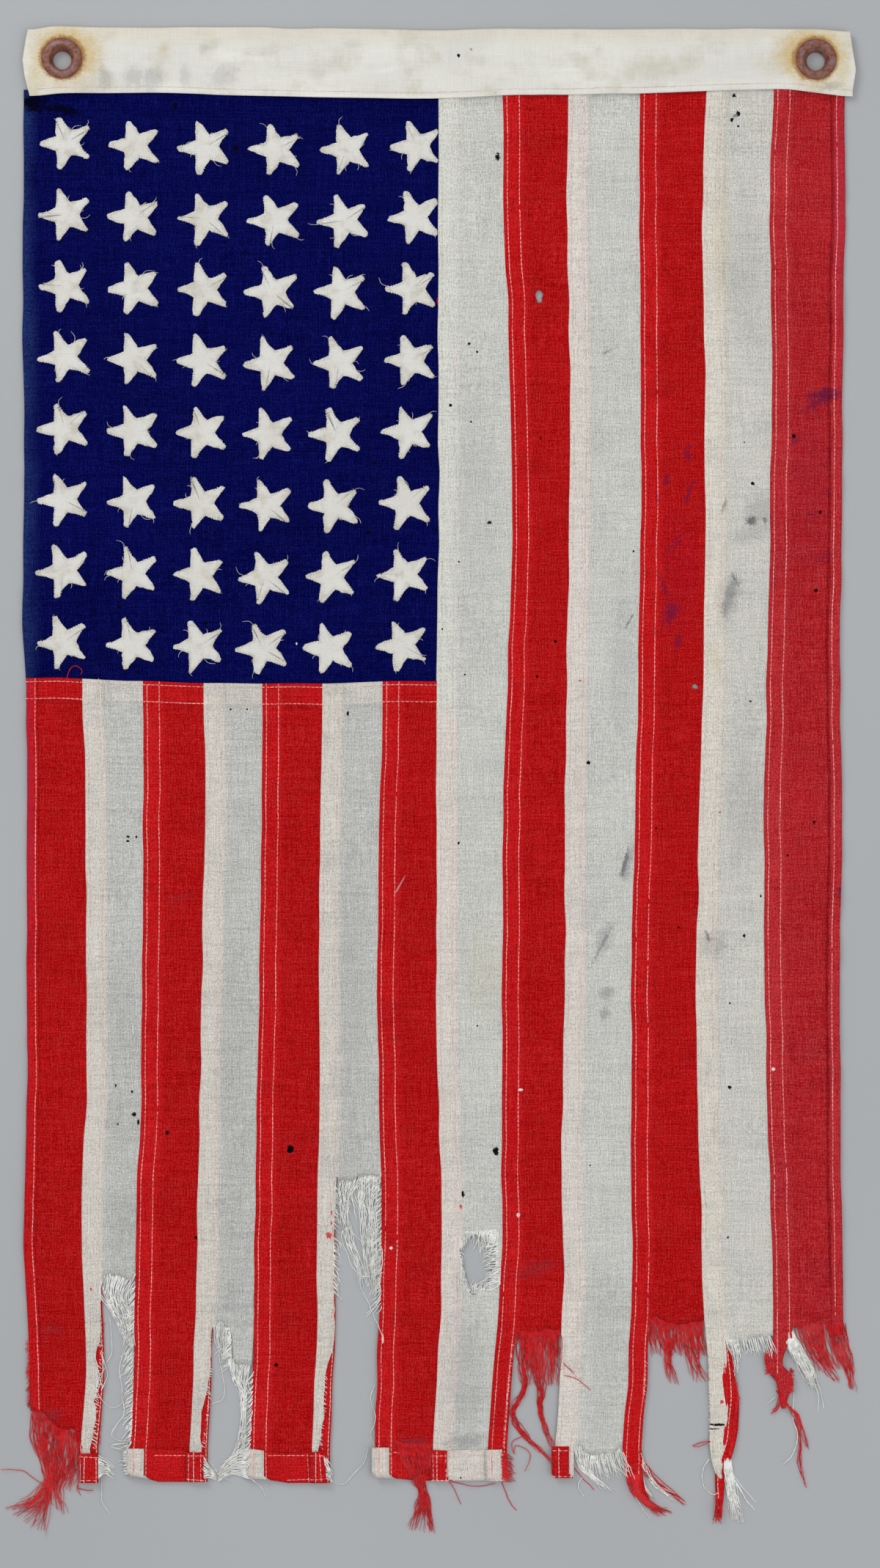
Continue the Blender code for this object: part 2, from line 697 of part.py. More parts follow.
def turned_ring(name, x, y, profile, material):
    """A solid turned about a vertical axis; a profile that starts and ends on the axis is capped."""
    mesh = bmesh.new()
    rings = []
    for radius, z in profile:
        if radius == 0.0:
            rings.append([mesh.verts.new(Vector((x, y, z)) * MM)])
            continue
        angles = [2 * pi * step / GROMMET_SIDES for step in range(GROMMET_SIDES)]
        rings.append([mesh.verts.new(Vector((x + radius * cos(a), y + radius * sin(a), z)) * MM)
                      for a in angles])
    closed = profile[0][0] != 0.0
    pairs = list(zip(rings, rings[1:] + rings[:1])) if closed else list(zip(rings, rings[1:]))
    for inner, outer in pairs:
        for step in range(GROMMET_SIDES):
            after = (step + 1) % GROMMET_SIDES
            corners = [inner[step % len(inner)], outer[step % len(outer)],
                       outer[after % len(outer)], inner[after % len(inner)]]
            mesh.faces.new(list(dict.fromkeys(corners)))
    bmesh.ops.recalc_face_normals(mesh, faces=mesh.faces[:])
    ring = finish_object(name, mesh, material)
    ring.data.shade_smooth()
    ring.data.set_sharp_from_angle(angle=0.7)
    return ring


def make_grommet(side, material):
    """An eyelet with a flat front flange and a low lip around its bore, and its washer behind."""
    x, y = GROMMETS[side]
    floor = FRONT_FLOOR
    turned_ring(f"eyelet_{side}", x, y, (
        (GROMMET_BORE, 0.0), (GROMMET_BARREL, 0.0), (GROMMET_BARREL, floor),
        (GROMMET_FLANGE - 0.4, floor), (GROMMET_FLANGE, floor + 0.3),
        (GROMMET_FLANGE, floor + 0.7), (GROMMET_FLANGE - 0.6, floor + 1.1),
        (GROMMET_BARREL + 1.0, floor + 1.1), (GROMMET_BARREL + 0.4, floor + 1.3),
        (GROMMET_BORE + 0.4, floor + 1.1), (GROMMET_BORE, floor + 0.7)), material)
    turned_ring(f"washer_{side}", x, y, (
        (GROMMET_BARREL + GAP, 0.0), (GROMMET_WASHER, 0.0), (GROMMET_WASHER, WASHER_THICK),
        (GROMMET_BARREL + GAP, WASHER_THICK)), material)


def main():
    clear_scene()
    materials = {name: make_material(name) for name in MATERIALS}
    for stripe in range(1, STRIPES + 1):
        make_stripe(stripe, materials["red bunting" if stripe % 2 else "white bunting"])
    make_canton(materials["navy bunting"])
    make_heading(materials["canvas"])
    for side in GROMMETS:
        make_grommet(side, materials["rusted brass"])


main()
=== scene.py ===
"""A tattered boat flag of wool bunting, laid flat with its heading at +Y.

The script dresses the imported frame: thirteen stripes, the canton and its stars, the canvas heading,
two grommets, the sewing and the loose threads. Lengths in the functions are in millimetres, and MM
turns them into metres where a mesh is made. X runs across the hoist, -Y along the fly, Z up.
"""

import math

import bpy
import numpy as np
from bpy.props import FloatProperty, FloatVectorProperty, IntProperty, PointerProperty
from bpy.types import Operator, Panel, PropertyGroup
from mathutils.bvhtree import BVHTree
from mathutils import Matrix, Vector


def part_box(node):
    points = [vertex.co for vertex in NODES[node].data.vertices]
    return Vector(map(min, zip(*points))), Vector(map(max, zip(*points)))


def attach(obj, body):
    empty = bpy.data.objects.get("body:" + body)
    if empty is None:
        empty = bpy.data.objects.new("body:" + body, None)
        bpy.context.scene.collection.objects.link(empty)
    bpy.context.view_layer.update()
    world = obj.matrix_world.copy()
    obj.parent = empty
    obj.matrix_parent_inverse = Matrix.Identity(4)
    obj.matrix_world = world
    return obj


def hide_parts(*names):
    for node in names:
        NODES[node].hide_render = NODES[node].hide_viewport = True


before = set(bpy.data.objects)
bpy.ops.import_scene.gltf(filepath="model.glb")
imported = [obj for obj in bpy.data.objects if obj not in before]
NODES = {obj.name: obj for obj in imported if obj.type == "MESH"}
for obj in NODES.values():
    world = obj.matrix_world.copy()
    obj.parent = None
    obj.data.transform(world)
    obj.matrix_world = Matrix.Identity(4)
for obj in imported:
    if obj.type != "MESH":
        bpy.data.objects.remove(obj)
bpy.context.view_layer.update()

bl_info = {
    "name": "Tattered Flag",
    "version": (1, 0, 0),
    "blender": (4, 5, 0),
    "location": "View3D > Sidebar > Flag",
    "description": "Makes the cloth, sewing, stars, grommets and loose threads of a worn boat flag",
    "category": "Object",
}

MM = 0.001

STRIPES = 13
FIRST_LONG = 8                   # stripes 8 to 13 run the full length beside the canton
LONG_TOP = 324.0                 # where the rows of a long stripe start, near enough
SHORT_TOP = 36.0                 # the same for a short stripe

CLOTH = 0.5                      # thickness of one layer of bunting
ALLOWANCE = 8.8                  # cloth left under the lap of the next stripe
LAP = 9.3                        # width of a felled seam
SIDE_HEM = 5.5                   # width folded over at the two long edges
BAND = 10.4                      # lap of the short stripes over the canton
TUCK = 3.2                       # depth of cloth held inside the heading
ROW_STEP = 3.0                   # distance between the cross lines of a cloth's mesh
FRONT_ROW = 2.0                  # first row of stitches, from a lap's edge
BACK_ROW = 7.9                   # second row
FLY_TOP = -338.0                 # where the hem at the fly starts, near enough
HEADING_BACK = 0.7               # thickness of the heading's back layer
TAIL_FELT = 1.1                  # how much the torn ends have felted up
TURNED_ASIDE = 1.9               # how far the turned ends of the allowances lean to the left
CANTON_RAISE = 0.62              # how much the canton under them raises the short stripes
TOP_REACH = 26.0                 # how far down a stripe its rows are moved to meet its top
TEAR_REACH = 46.0                # how far up a stripe its rows are moved to meet its torn edge
HEM_DOWN = 5                     # rows of the hem at the fly before its fold
HEM_BACK = 6                     # rows of it after its fold
COURSE_STEP = 4.0                # distance between the places where an edge is read
STITCH_STEP = 1.5                # distance between the points of a row of stitches

# Section of a lap, from its folded edge to the panel; the dips are the two rows of stitches.
LAP_SECTION = (
    # from the edge, underside, top
    (0.0, 0.60, 1.00),
    (0.4, 0.60, 1.24),
    (1.2, 0.62, 1.36),
    (2.0, 0.56, 1.10),
    (2.8, 0.62, 1.36),
    (4.2, 0.68, 1.48),
    (5.8, 0.68, 1.48),
    (7.1, 0.62, 1.36),
    (7.9, 0.56, 1.08),
    (8.6, 0.58, 1.24),
    (9.3, 0.56, 1.08),
)
LAP_SLOPE = (
    # from the edge, underside, top, how far it is doubled
    (10.1, 0.14, 0.80, 0.75),
    (11.0, 0.00, 0.54, 0.25),
)
PANEL_COLUMNS = 14

# Section of the fold along a long edge of the flag, from its inner edge out and round.
SIDE_SECTION = (
    # outer face from the edge, outer height, inner height, inner face from the edge
    (SIDE_HEM, 1.08, 0.64, SIDE_HEM),
    (4.4, 0.98, 0.60, 4.4),
    (3.0, 1.16, 0.66, 3.0),
    (1.2, 1.18, 0.68, 1.2),
    (0.25, 1.00, 0.66, 0.75),
    (0.0, 0.56, 0.56, 0.9),
    (0.3, 0.0, 0.5, 0.9),
)

# Heights at the hem of the fly: the layer below, and the layer turned over it.
HEM_LEVELS = {
    # part: underside, top, turned lower side, turned upper side
    "lap": (0.60, 1.10, 1.20, 1.70),
    "slope": (0.20, 0.70, 0.90, 1.40),
    "panel": (0.00, 0.50, 0.62, 1.12),
    "allowance": (0.00, 0.50, 1.80, 2.30),
}

# Fold and inner edge of the hem at the fly.
FLY_FOLD = (
    # x, y
    (-175, -354.5), (-162, -354.5), (-151, -350.5), (-141, -352), (-134, -354), (-111, -354), (-96, -352.5),
    (-84, -352.5), (-71, -354.5), (-52, -354.5), (-31, -352), (-21, -352), (-8, -353.5), (33, -353.5),
    (50, -352), (70, -352),
)
FLY_HEM = (
    # x, y
    (-175, -340), (-161, -340), (-152, -337.5), (-141, -337.5), (-112, -339.5), (-95, -337), (-84, -338),
    (-73, -340), (-53, -339), (-31, -337), (-21, -337), (7, -338.5), (34, -338), (50, -336.5), (70, -336.5),
)

# Torn edge of a stripe's panel, from its left side, 0, to its right, 1.
TEARS = {
    # stripe: (share, y), ...
    1: ((0.0, -320.6), (0.25, -324.0), (0.42, -328.5), (0.85, -329.5), (1.0, -338.0)),
    2: ((0.0, -253.5), (0.5, -254.6), (1.0, -255.2)),
    4: ((0.0, -276.0), (0.2, -278.5), (0.38, -283.0), (0.43, -294.0), (0.5, -297.0), (1.0, -297.3)),
    6: ((0.0, -206.8), (0.5, -206.0), (1.0, -205.1)),
    9: ((0.0, -285.0), (0.15, -281.6), (0.5, -280.4), (1.0, -280.2)),
    10: ((0.0, -337.4), (0.3, -340.5), (0.7, -340.5), (1.0, -337.6)),
    11: ((0.0, -274.0), (0.3, -277.0), (0.8, -277.2), (1.0, -276.2)),
    12: ((0.0, -284.8), (0.4, -285.2), (0.6, -283.6), (1.0, -283.4)),
    13: ((0.0, -279.0), (0.4, -276.8), (0.8, -275.8), (1.0, -282.5)),
}

# Width that is left of a lap below its stripe's torn edge.
WORN_LAPS = {
    # stripe: (y, width), ...
    2: ((-338, 5.0), (-332, 5.2), (-323, 6.6), (-315, 5.0), (-305, 6.6), (-300, 5.8), (-290, 4.4),
        (-286, 7.2), (-270, 7.6), (-262, 8.2)),
    4: ((-338, 5.6), (-318, 4.8), (-307, 7.4), (-300, 8.2), (-280, 8.4)),
    6: ((-338, 3.0), (-326, 4.8), (-298, 5.2), (-288, 8.2), (-230, 8.4), (-212, 9.3)),
    12: ((-345, 5.0), (-340, 8.2), (-333, 8.6), (-325, 8.2), (-318, 9.3)),
}

# Torn ends of the seams: the centre line and width of what is left of a lap or an allowance.
TAILS = {
    # stripe and strip: (x, y, width) down the tail
    (10, "allowance"): ((96.5, -338, 8.5), (97.5, -347, 6.5), (101.5, -356, 3), (106, -361, 1)),
    (11, "lap"): ((96.5, -338, 9.5), (97, -349, 8.5), (99.5, -358, 6.5), (104.5, -365, 3)),
    (11, "allowance"): ((138, -284, 9), (140.5, -294, 9), (142, -304, 9), (144, -313, 9), (144, -321, 9),
                        (143.5, -329, 9), (142, -337, 8.5), (140.5, -344, 7), (139, -352, 5),
                        (139, -362, 4), (138, -371, 3)),
    (12, "lap"): ((138, -332, 8.5), (138, -341, 7), (138, -348, 4), (139.5, -352, 1.5)),
    (12, "allowance"): ((169.5, -282, 8), (173.5, -287, 6.5), (177.5, -292, 6.5), (181, -298, 5.5),
                        (183.5, -304, 2.5)),
    (13, "lap"): ((169, -284, 9), (167, -289, 8.5), (165, -294, 9), (166, -299, 8), (170, -303, 8.5),
                  (171, -307, 8), (170, -312, 5), (170, -318, 2)),
}

# Holes right through the cloth.
HOLES = {
    # stripe: (x, y, half width, half length), ...
    8: ((21.8, -246.6, 8.4, 14.6),),
    9: ((51.1, 223.2, 1.7, 3.6),),
    11: ((127.1, 32.5, 1.5, 2.1),),
    12: ((146.8, 310.4, 1.3, 2.2),),
}

# Folds pressed into the cloth.
CREASES = (
    # x, y, half length, half width, turn in degrees, height
    (-69, -289.3, 12, 1.6, -12, 0.45),
    (-68, -324.6, 11, 1.5, 0, 0.40),
    (-77, -297.2, 3, 1.2, -30, -0.5),
    (-135, -300, 14, 2.2, -8, 0.35),
    (-66, -205, 12, 2.0, 25, 0.30),
    (118, 118, 16, 2.2, 50, 0.35),
    (48, 60, 14, 2.0, 62, 0.30),
    (113, -150, 16, 2.2, -50, 0.30),
    (182, 60, 16, 2.2, 55, 0.35),
    (-182, -80, 14, 2.2, 28, 0.30),
    (82, -60, 14, 2.4, 70, 0.25),
    (20, -80, 14, 2.4, -60, 0.25),
    (48, -190, 12, 2.0, 35, 0.30),
    (182, -170, 14, 2.0, 40, 0.30),
)


# ---------------------------------------------------------------- lines read from the frame

def points_of(data):
    """The points of a mesh, in millimetres."""
    points = np.empty(len(data.vertices) * 3)
    data.vertices.foreach_get("co", points)
    return points.reshape(-1, 3) / MM


def node_edges(*names):
    """Both ends of every edge of some CAD nodes, in millimetres."""
    starts, ends = [], []
    for name in names:
        data = NODES[name].data
        points = points_of(data)
        corners = np.empty(len(data.edges) * 2, int)
        data.edges.foreach_get("vertices", corners)
        starts.append(points[corners[0::2]])
        ends.append(points[corners[1::2]])
    return np.concatenate(starts), np.concatenate(ends)


def span(edges, axis, place):
    """Lowest and highest place on the other flat axis where the edges cross a line."""
    start, end = edges
    crossing = (start[:, axis] - place) * (end[:, axis] - place) <= 0
    crossing &= start[:, axis] != end[:, axis]
    start, end = start[crossing], end[crossing]
    share = (place - start[:, axis]) / (end[:, axis] - start[:, axis])
    other = start[:, 1 - axis] + share * (end[:, 1 - axis] - start[:, 1 - axis])
    return other.min(), other.max()


class Course:
    """A smooth line read along one side of a CAD node."""

    def __init__(self, edges, axis, side, low, high, blur=3, sway=0.0, seed=0):
        self.places = np.linspace(low, high, max(int((high - low) / COURSE_STEP), 2) + 1)
        values = np.array([span(edges, axis, place)[side] for place in self.places])
        weights = np.array([1 + blur - abs(step) for step in range(-blur, blur + 1)], float)
        ahead = 2 * values[0] - values[1:blur + 1][::-1]
        after = 2 * values[-1] - values[-blur - 1:-1][::-1]
        values = np.convolve(np.concatenate((ahead, values, after)), weights / weights.sum(), "valid")
        self.values = values + sway * soft_noise(self.places, 0.0, 17, 17, seed)

    def __call__(self, place):
        return np.interp(place, self.places, self.values)


def beside(course, offset):
    """A function for the line at a distance from a course."""
    return lambda place: course(place) + offset


def line_through(table):
    """A function that reads a given line of (place, value) pairs."""
    places, values = zip(*sorted(table))
    return lambda place: np.interp(place, places, values)


def soft_noise(x, y, cell_x, cell_y, seed):
    """Seeded noise from -1 to 1 that changes smoothly over cells of a size."""
    table = np.random.default_rng(seed).uniform(-1, 1, (128, 128))
    u, v = np.asarray(x) / cell_x + 64, np.asarray(y) / cell_y + 64
    low_u, low_v = np.floor(u).astype(int), np.floor(v).astype(int)
    u, v = u - low_u, v - low_v
    u, v = u * u * (3 - 2 * u), v * v * (3 - 2 * v)
    corner = [table[(low_u + i) % 128, (low_v + j) % 128] for i in (0, 1) for j in (0, 1)]
    near = corner[0] * (1 - v) + corner[1] * v
    far = corner[2] * (1 - v) + corner[3] * v
    return near * (1 - u) + far * u


def eased(share):
    """A share from 0 to 1, made to start and end gently."""
    share = np.clip(share, 0.0, 1.0)
    return share * share * (3 - 2 * share)


def read_courses():
    """The left edge of every stripe, and after them the right edge of the last one."""
    courses = {}
    ends = {1: -318.0, 12: -333.0, 13: -283.0}
    for stripe in range(1, STRIPES + 1):
        top = 318.0 if stripe >= FIRST_LONG else 22.0
        edges = node_edges(f"stripe_{stripe:02d}")
        courses[stripe] = Course(edges, 1, 0, ends.get(stripe, -337.0), top, sway=0.45, seed=40 + stripe)
    courses[STRIPES + 1] = Course(edges, 1, 1, -275.0, top, sway=0.45, seed=54)
    return courses


HEADING_EDGES = node_edges("heading")
SEAMS = read_courses()
CANTON_LEFT = Course(node_edges("canton"), 1, 0, 28.0, 318.0, sway=0.3, seed=60)
CANTON_FOOT = Course(node_edges(*(f"stripe_{k:02d}" for k in range(1, FIRST_LONG))), 0, 1,
                     -195.0, -2.0, blur=1, sway=0.2, seed=61)
HEADING_LOWER = Course(HEADING_EDGES, 0, 0, -196.0, 201.0, blur=2, sway=0.35, seed=62)
HEADING_UPPER = Course(HEADING_EDGES, 0, 1, -197.0, 202.0, blur=2, sway=0.45, seed=63)
HEADING_LEFT = line_through(((354, -197.2), (349, -198.4), (338, -200.2), (330, -199.2), (321, -196.9)))
HEADING_RIGHT = line_through(((353, 202.0), (345, 203.2), (333, 205.2), (323, 203.6)))
HEADING_SPAN = (-200.2, 205.2)
GROMMET_PLACES = {side: (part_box(f"eyelet_{side}")[0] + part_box(f"eyelet_{side}")[1]) / (2 * MM)
                  for side in ("left", "right")}
fly_fold = line_through(FLY_FOLD)
fly_hem = line_through(FLY_HEM)


def ground(x, y):
    """How far the cloth lies off the surface, the same for each of its layers."""
    x, y = np.asarray(x, float), np.asarray(y, float)
    height = 0.52 + 0.34 * soft_noise(x, y, 70, 55, 11) + 0.16 * soft_noise(x, y, 24, 15, 12)
    height += 0.10 * soft_noise(x + y, x - y, 26, 8, 13)
    height += 0.50 * soft_noise(x, y, 22, 7, 14) * eased(0.4 + 0.9 * soft_noise(x, y, 50, 45, 15))
    for centre_x, centre_y, half_length, half_width, turn, rise in CREASES:
        turn = math.radians(turn)
        along = (x - centre_x) * math.cos(turn) + (y - centre_y) * math.sin(turn)
        across = (y - centre_y) * math.cos(turn) - (x - centre_x) * math.sin(turn)
        height += rise * np.exp(-(along / half_length) ** 2 - (across / half_width) ** 2)
    near_heading = eased((HEADING_LOWER(x) - y) / 25.0)
    return np.clip(height, 0.0, 1.6) * near_heading


# ---------------------------------------------------------------- meshes

def new_piece(name, points, faces, material, smooth=True):
    """A mesh object from points in millimetres."""
    data = bpy.data.meshes.new(name)
    data.from_pydata((np.asarray(points) * MM).tolist(), [], faces)
    data.materials.append(material)
    if smooth:
        data.shade_smooth()
    piece = bpy.data.objects.new(name, data)
    bpy.context.scene.collection.objects.link(piece)
    return piece


def add_layer(piece, name, values):
    """Gives each point of a piece a value that its material can read."""
    layer = piece.data.attributes.new(name, "FLOAT", "POINT")
    layer.data.foreach_set("value", np.asarray(values, np.float32))


def closed_sheet(name, under, upper, cells, material, doubled=None):
    """A closed sheet of cloth between two grids of points; cells says which squares are cloth."""
    rows, columns = cells.shape
    used = np.zeros((rows + 1, columns + 1), bool)
    for step_row in (0, 1):
        for step_column in (0, 1):
            used[step_row:rows + step_row, step_column:columns + step_column] |= cells
    number = np.full(used.shape, -1)
    count = int(used.sum())
    number[used] = np.arange(count)
    top, bottom = number, number + count
    faces = []
    row, column = np.nonzero(cells)
    ring = ((row, column), (row + 1, column), (row + 1, column + 1), (row, column + 1))
    faces += np.stack([top[place] for place in ring], 1).tolist()
    faces += np.stack([bottom[place] for place in reversed(ring)], 1).tolist()
    padded = np.pad(cells, 1)
    beside = ((0, -1), (1, 0), (0, 1), (-1, 0))
    for side, (step_row, step_column) in enumerate(beside):
        bare = cells & ~padded[1 + step_row:1 + step_row + rows, 1 + step_column:1 + step_column + columns]
        row, column = np.nonzero(bare)
        ring = ((row, column), (row + 1, column), (row + 1, column + 1), (row, column + 1))
        start, end = ring[side], ring[(side + 1) % 4]
        faces += np.stack([top[end], top[start], bottom[start], bottom[end]], 1).tolist()
    piece = new_piece(name, np.concatenate((upper[used], under[used])), faces, material)
    if doubled is not None:
        add_layer(piece, "doubled", np.tile(doubled[used], 2))
    return piece


def flat_area(plan, cells):
    """Area in square metres of the cloth squares of a flat plan."""
    across = plan[1:, 1:] - plan[:-1, :-1]
    back = plan[1:, :-1] - plan[:-1, 1:]
    area = np.abs(across[..., 0] * back[..., 1] - across[..., 1] * back[..., 0]) / 2
    return float(area[cells].sum()) * MM * MM


def ring_faces(rings, steps, closed=False):
    """Faces between rings of points, and from the last ring to the first if they close."""
    faces = []
    for ring in range(rings if closed else rings - 1):
        low, high = ring * steps, (ring + 1) % rings * steps
        for step in range(steps):
            after = (step + 1) % steps
            faces.append((low + step, low + after, high + after, high + step))
    return faces


# ---------------------------------------------------------------- stripes

class Weaver:
    """Gathers a stripe's columns of points, and where each strip between two columns is cloth."""

    def __init__(self):
        self.columns = []

    def add(self, points, doubled, first_row=0, last_row=None):
        """points: plan x, plan y, underside and top for each row; doubled: a share for each, or one."""
        doubled = np.broadcast_to(doubled, len(points))
        self.columns.append((points, doubled, first_row, last_row or len(points)))

    def grids(self):
        rows = max(len(points) for points, *_ in self.columns)
        shape = (rows, len(self.columns))
        under = np.zeros(shape + (3,))
        upper = np.zeros(shape + (3,))
        doubled = np.zeros(shape)
        cells = np.zeros((rows - 1, len(self.columns) - 1), bool)
        for index, (points, twofold, first, last) in enumerate(self.columns):
            filled = np.concatenate((points, np.repeat(points[-1:], rows - len(points), 0)))
            under[:, index] = filled[:, 0]
            upper[:, index] = filled[:, 1]
            doubled[:, index] = np.concatenate((twofold, np.repeat(twofold[-1:], rows - len(twofold))))
            if index:
                last = min(last, len(self.columns[index - 1][0]))
                cells[first:last - 1, index - 1] = True
        return under, upper, doubled, cells


def pairs(x, y, under, upper):
    """Point pairs from arrays or single values of plan and heights."""
    x, y, under, upper = np.broadcast_arrays(x, y, under, upper)
    return np.stack((np.stack((x, y, under), -1), np.stack((x, y, upper), -1)), 1)


def top_line(stripe, x):
    """Where a stripe ends at its top: inside the heading, or at the canton's foot."""
    return HEADING_LOWER(x) + TUCK if stripe >= FIRST_LONG else CANTON_FOOT(x)


def over_back(x, y):
    """How much cloth that is held in the heading is raised over the heading's back layer."""
    return HEADING_BACK * eased((y - HEADING_LOWER(x) + 3.0) / 2.6)


def top_raise(stripe, x, y):
    """How much a stripe is raised over the heading's back layer or over the canton."""
    if stripe >= FIRST_LONG:
        return over_back(x, y)
    return CANTON_RAISE * eased((y - CANTON_FOOT(x) + BAND + 2.6) / 2.4)


def shared_end(stripe):
    """Where the rows that all columns share end: the top of the torn edge, or the hem."""
    return max((y for _, y in TEARS.get(stripe, ())), default=FLY_TOP)


def stations(stripe):
    """Places of the rows from a stripe's top to the start of its torn edge or its hem."""
    top, end = LONG_TOP if stripe >= FIRST_LONG else SHORT_TOP, shared_end(stripe)
    rows = set(np.linspace(top, end, int((top - end) / ROW_STEP) + 1).round(3))
    edge = [1.2, 2.4]
    if stripe < FIRST_LONG:
        edge += [BAND + step for step in (-0.6, 0.4, 1.4, 2.4)]
    rows |= {round(top - depth, 3) for depth in edge}
    for _, centre_y, _, half_length in HOLES.get(stripe, ()):
        fine = np.arange(centre_y - half_length - 2.0, centre_y + half_length + 2.1, 0.8)
        rows = {y for y in rows if abs(y - centre_y) > half_length + 2.6} | set(fine.round(3))
    return np.array(sorted(rows, reverse=True))


def hem_rows(x_at, levels, first_row_levels, aside=0.0):
    """Rows of one column around the hem at the fly; aside shifts what is turned over."""
    low_under, low_upper, high_lower, high_upper = levels
    x = x_at(FLY_TOP)
    hem, fold = fly_hem(x), fly_fold(x)
    if low_under > 0.5:
        fold += 0.5
    down = np.linspace(FLY_TOP - 2.0, fold + 2.2, HEM_DOWN)
    blend = eased((FLY_TOP - down) / 3.0)
    under = first_row_levels[0] * (1 - blend) + low_under * blend
    upper = first_row_levels[1] * (1 - blend) + low_upper * blend
    rows = [pairs(x_at(down), down, under, upper)]
    middle_out, middle_in = (low_under + high_upper) / 2, (low_upper + high_lower) / 2
    for y, z_out, z_in in ((fold + 0.25, low_under, low_upper), (fold, middle_out, middle_in),
                           (fold + 0.25, high_upper, high_lower)):
        rows.append(np.array([[(x, y, z_out), (x, fold + 0.55, z_in)]]))
    back = np.linspace(fold + 2.2, hem, HEM_BACK)
    swell = 0.25 * np.sin(np.linspace(0.2, 0.9, HEM_BACK) * math.pi)
    rows.append(pairs(x_at(back) - aside, back, high_upper + swell, high_lower + swell * 0.6))
    return np.concatenate(rows)


def tail_rows(tail, position, under, upper):
    """Rows of one column of a tail; position runs from -0.5 at its left to 0.5 at its right."""
    tail = np.array(tail, float)
    steps = np.linspace(0, len(tail) - 1, 4 * (len(tail) - 1) + 1)
    smooth = np.stack([np.interp(steps, range(len(tail)), tail[:, i]) for i in range(3)], 1)
    smooth[1:-1] = (smooth[:-2] + 2 * smooth[1:-1] + smooth[2:]) / 4
    along = np.gradient(smooth[:, :2], axis=0)
    along /= np.linalg.norm(along, axis=1)[:, None]
    turn = np.linspace(0, 1, len(smooth))[:, None] ** 0.5
    across = np.stack((-along[:, 1], along[:, 0]), 1) * turn + np.array((1.0, 0.0)) * (1 - turn)
    plan = smooth[:, :2] + across * position * smooth[:, 2:]
    curl = 0.5 * np.sin(np.linspace(0, 2.4 * math.pi, len(smooth))) ** 2
    felted = TAIL_FELT * math.cos(math.pi * position) * np.linspace(0.0, 1.0, len(smooth)) ** 0.5
    return pairs(plan[1:, 0], plan[1:, 1], (under + curl)[1:], (upper + curl + felted)[1:])


def strip_rows(stripe, strip, x_at, offset, section):
    """Rows of a lap's or an allowance's column below the stripe's common rows."""
    start = shared_end(stripe)
    tail = TAILS.get((stripe, strip))
    end = tail[0][1] if tail else FLY_TOP
    parts = []
    if end < start - 1.0:
        y = np.linspace(start, end, int((start - end) / ROW_STEP) + 2)[1:]
        parts.append(pairs(x_at(y), y, *section))
    if tail:
        width = LAP if strip == "lap" else ALLOWANCE
        parts.append(tail_rows(tail, offset / width - 0.5, *section))
    else:
        aside = TURNED_ASIDE if strip == "allowance" and stripe > 1 else 0.0
        parts.append(hem_rows(x_at, HEM_LEVELS[strip], section, aside))
    return np.concatenate(parts)


def worn_offset(stripe, offset, y):
    """A lap column's distance from the edge, drawn in where the lap is worn narrow."""
    if stripe not in WORN_LAPS or offset <= FRONT_ROW:
        return offset
    width = line_through(WORN_LAPS[stripe])(y) + 0.5 * soft_noise(y, 0.0, 2.2, 2.2, 70 + stripe)
    below = eased((shared_end(stripe) - y) / 2.0)
    width = LAP + (np.minimum(width, LAP) - LAP) * below
    return FRONT_ROW + (offset - FRONT_ROW) * (width - FRONT_ROW) / (LAP - FRONT_ROW)


def torn_y(stripe, share, x):
    """Where a panel's column ends at the torn edge, with its small teeth."""
    ragged = 1.0 * soft_noise(x, 0.0, 1.7, 1.0, 80 + stripe) + 0.7 * soft_noise(x, 0.0, 5.0, 1.0, 90 + stripe)
    return line_through(TEARS[stripe])(share) + ragged


def common_rows(stripe, rows, x_at, under, upper, tear=None):
    """A column's rows from the top of the stripe to its torn edge or its hem."""
    top_shift = top_line(stripe, x_at(rows)[0]) - rows[0]
    y = rows + top_shift * eased(1 - (rows[0] - rows) / TOP_REACH)
    if tear is not None:
        y = y + (tear - rows[-1]) * eased(1 - (rows - rows[-1]) / TEAR_REACH)
    x = x_at(y)
    lift = top_raise(stripe, x, y)
    return pairs(x, y, under + lift, upper + lift)


def panel_column(stripe, rows, x_at, share, section, levels):
    """A column of the panel, down to its torn edge or round the hem at the fly."""
    if stripe in TEARS:
        tear = torn_y(stripe, share, x_at(rows[-1]))
        return common_rows(stripe, rows, x_at, *section, tear)
    turned = hem_rows(x_at, levels, section)
    return np.concatenate((common_rows(stripe, rows, x_at, *section), turned))


def side_columns(weaver, stripe, rows, inward):
    """The fold along one of the flag's two long edges, from outside in or inside out."""
    edge = SEAMS[1] if inward > 0 else SEAMS[STRIPES + 1]
    tear = torn_y(stripe, 0.0 if inward > 0 else 1.0, edge(rows[-1]))
    for offset, outer, inner, inset in SIDE_SECTION[::inward]:
        points = common_rows(stripe, rows, beside(edge, inward * offset), outer, inner, tear)
        points[:, 1, 0] += inward * (inset - offset)
        weaver.add(points, 1.0)


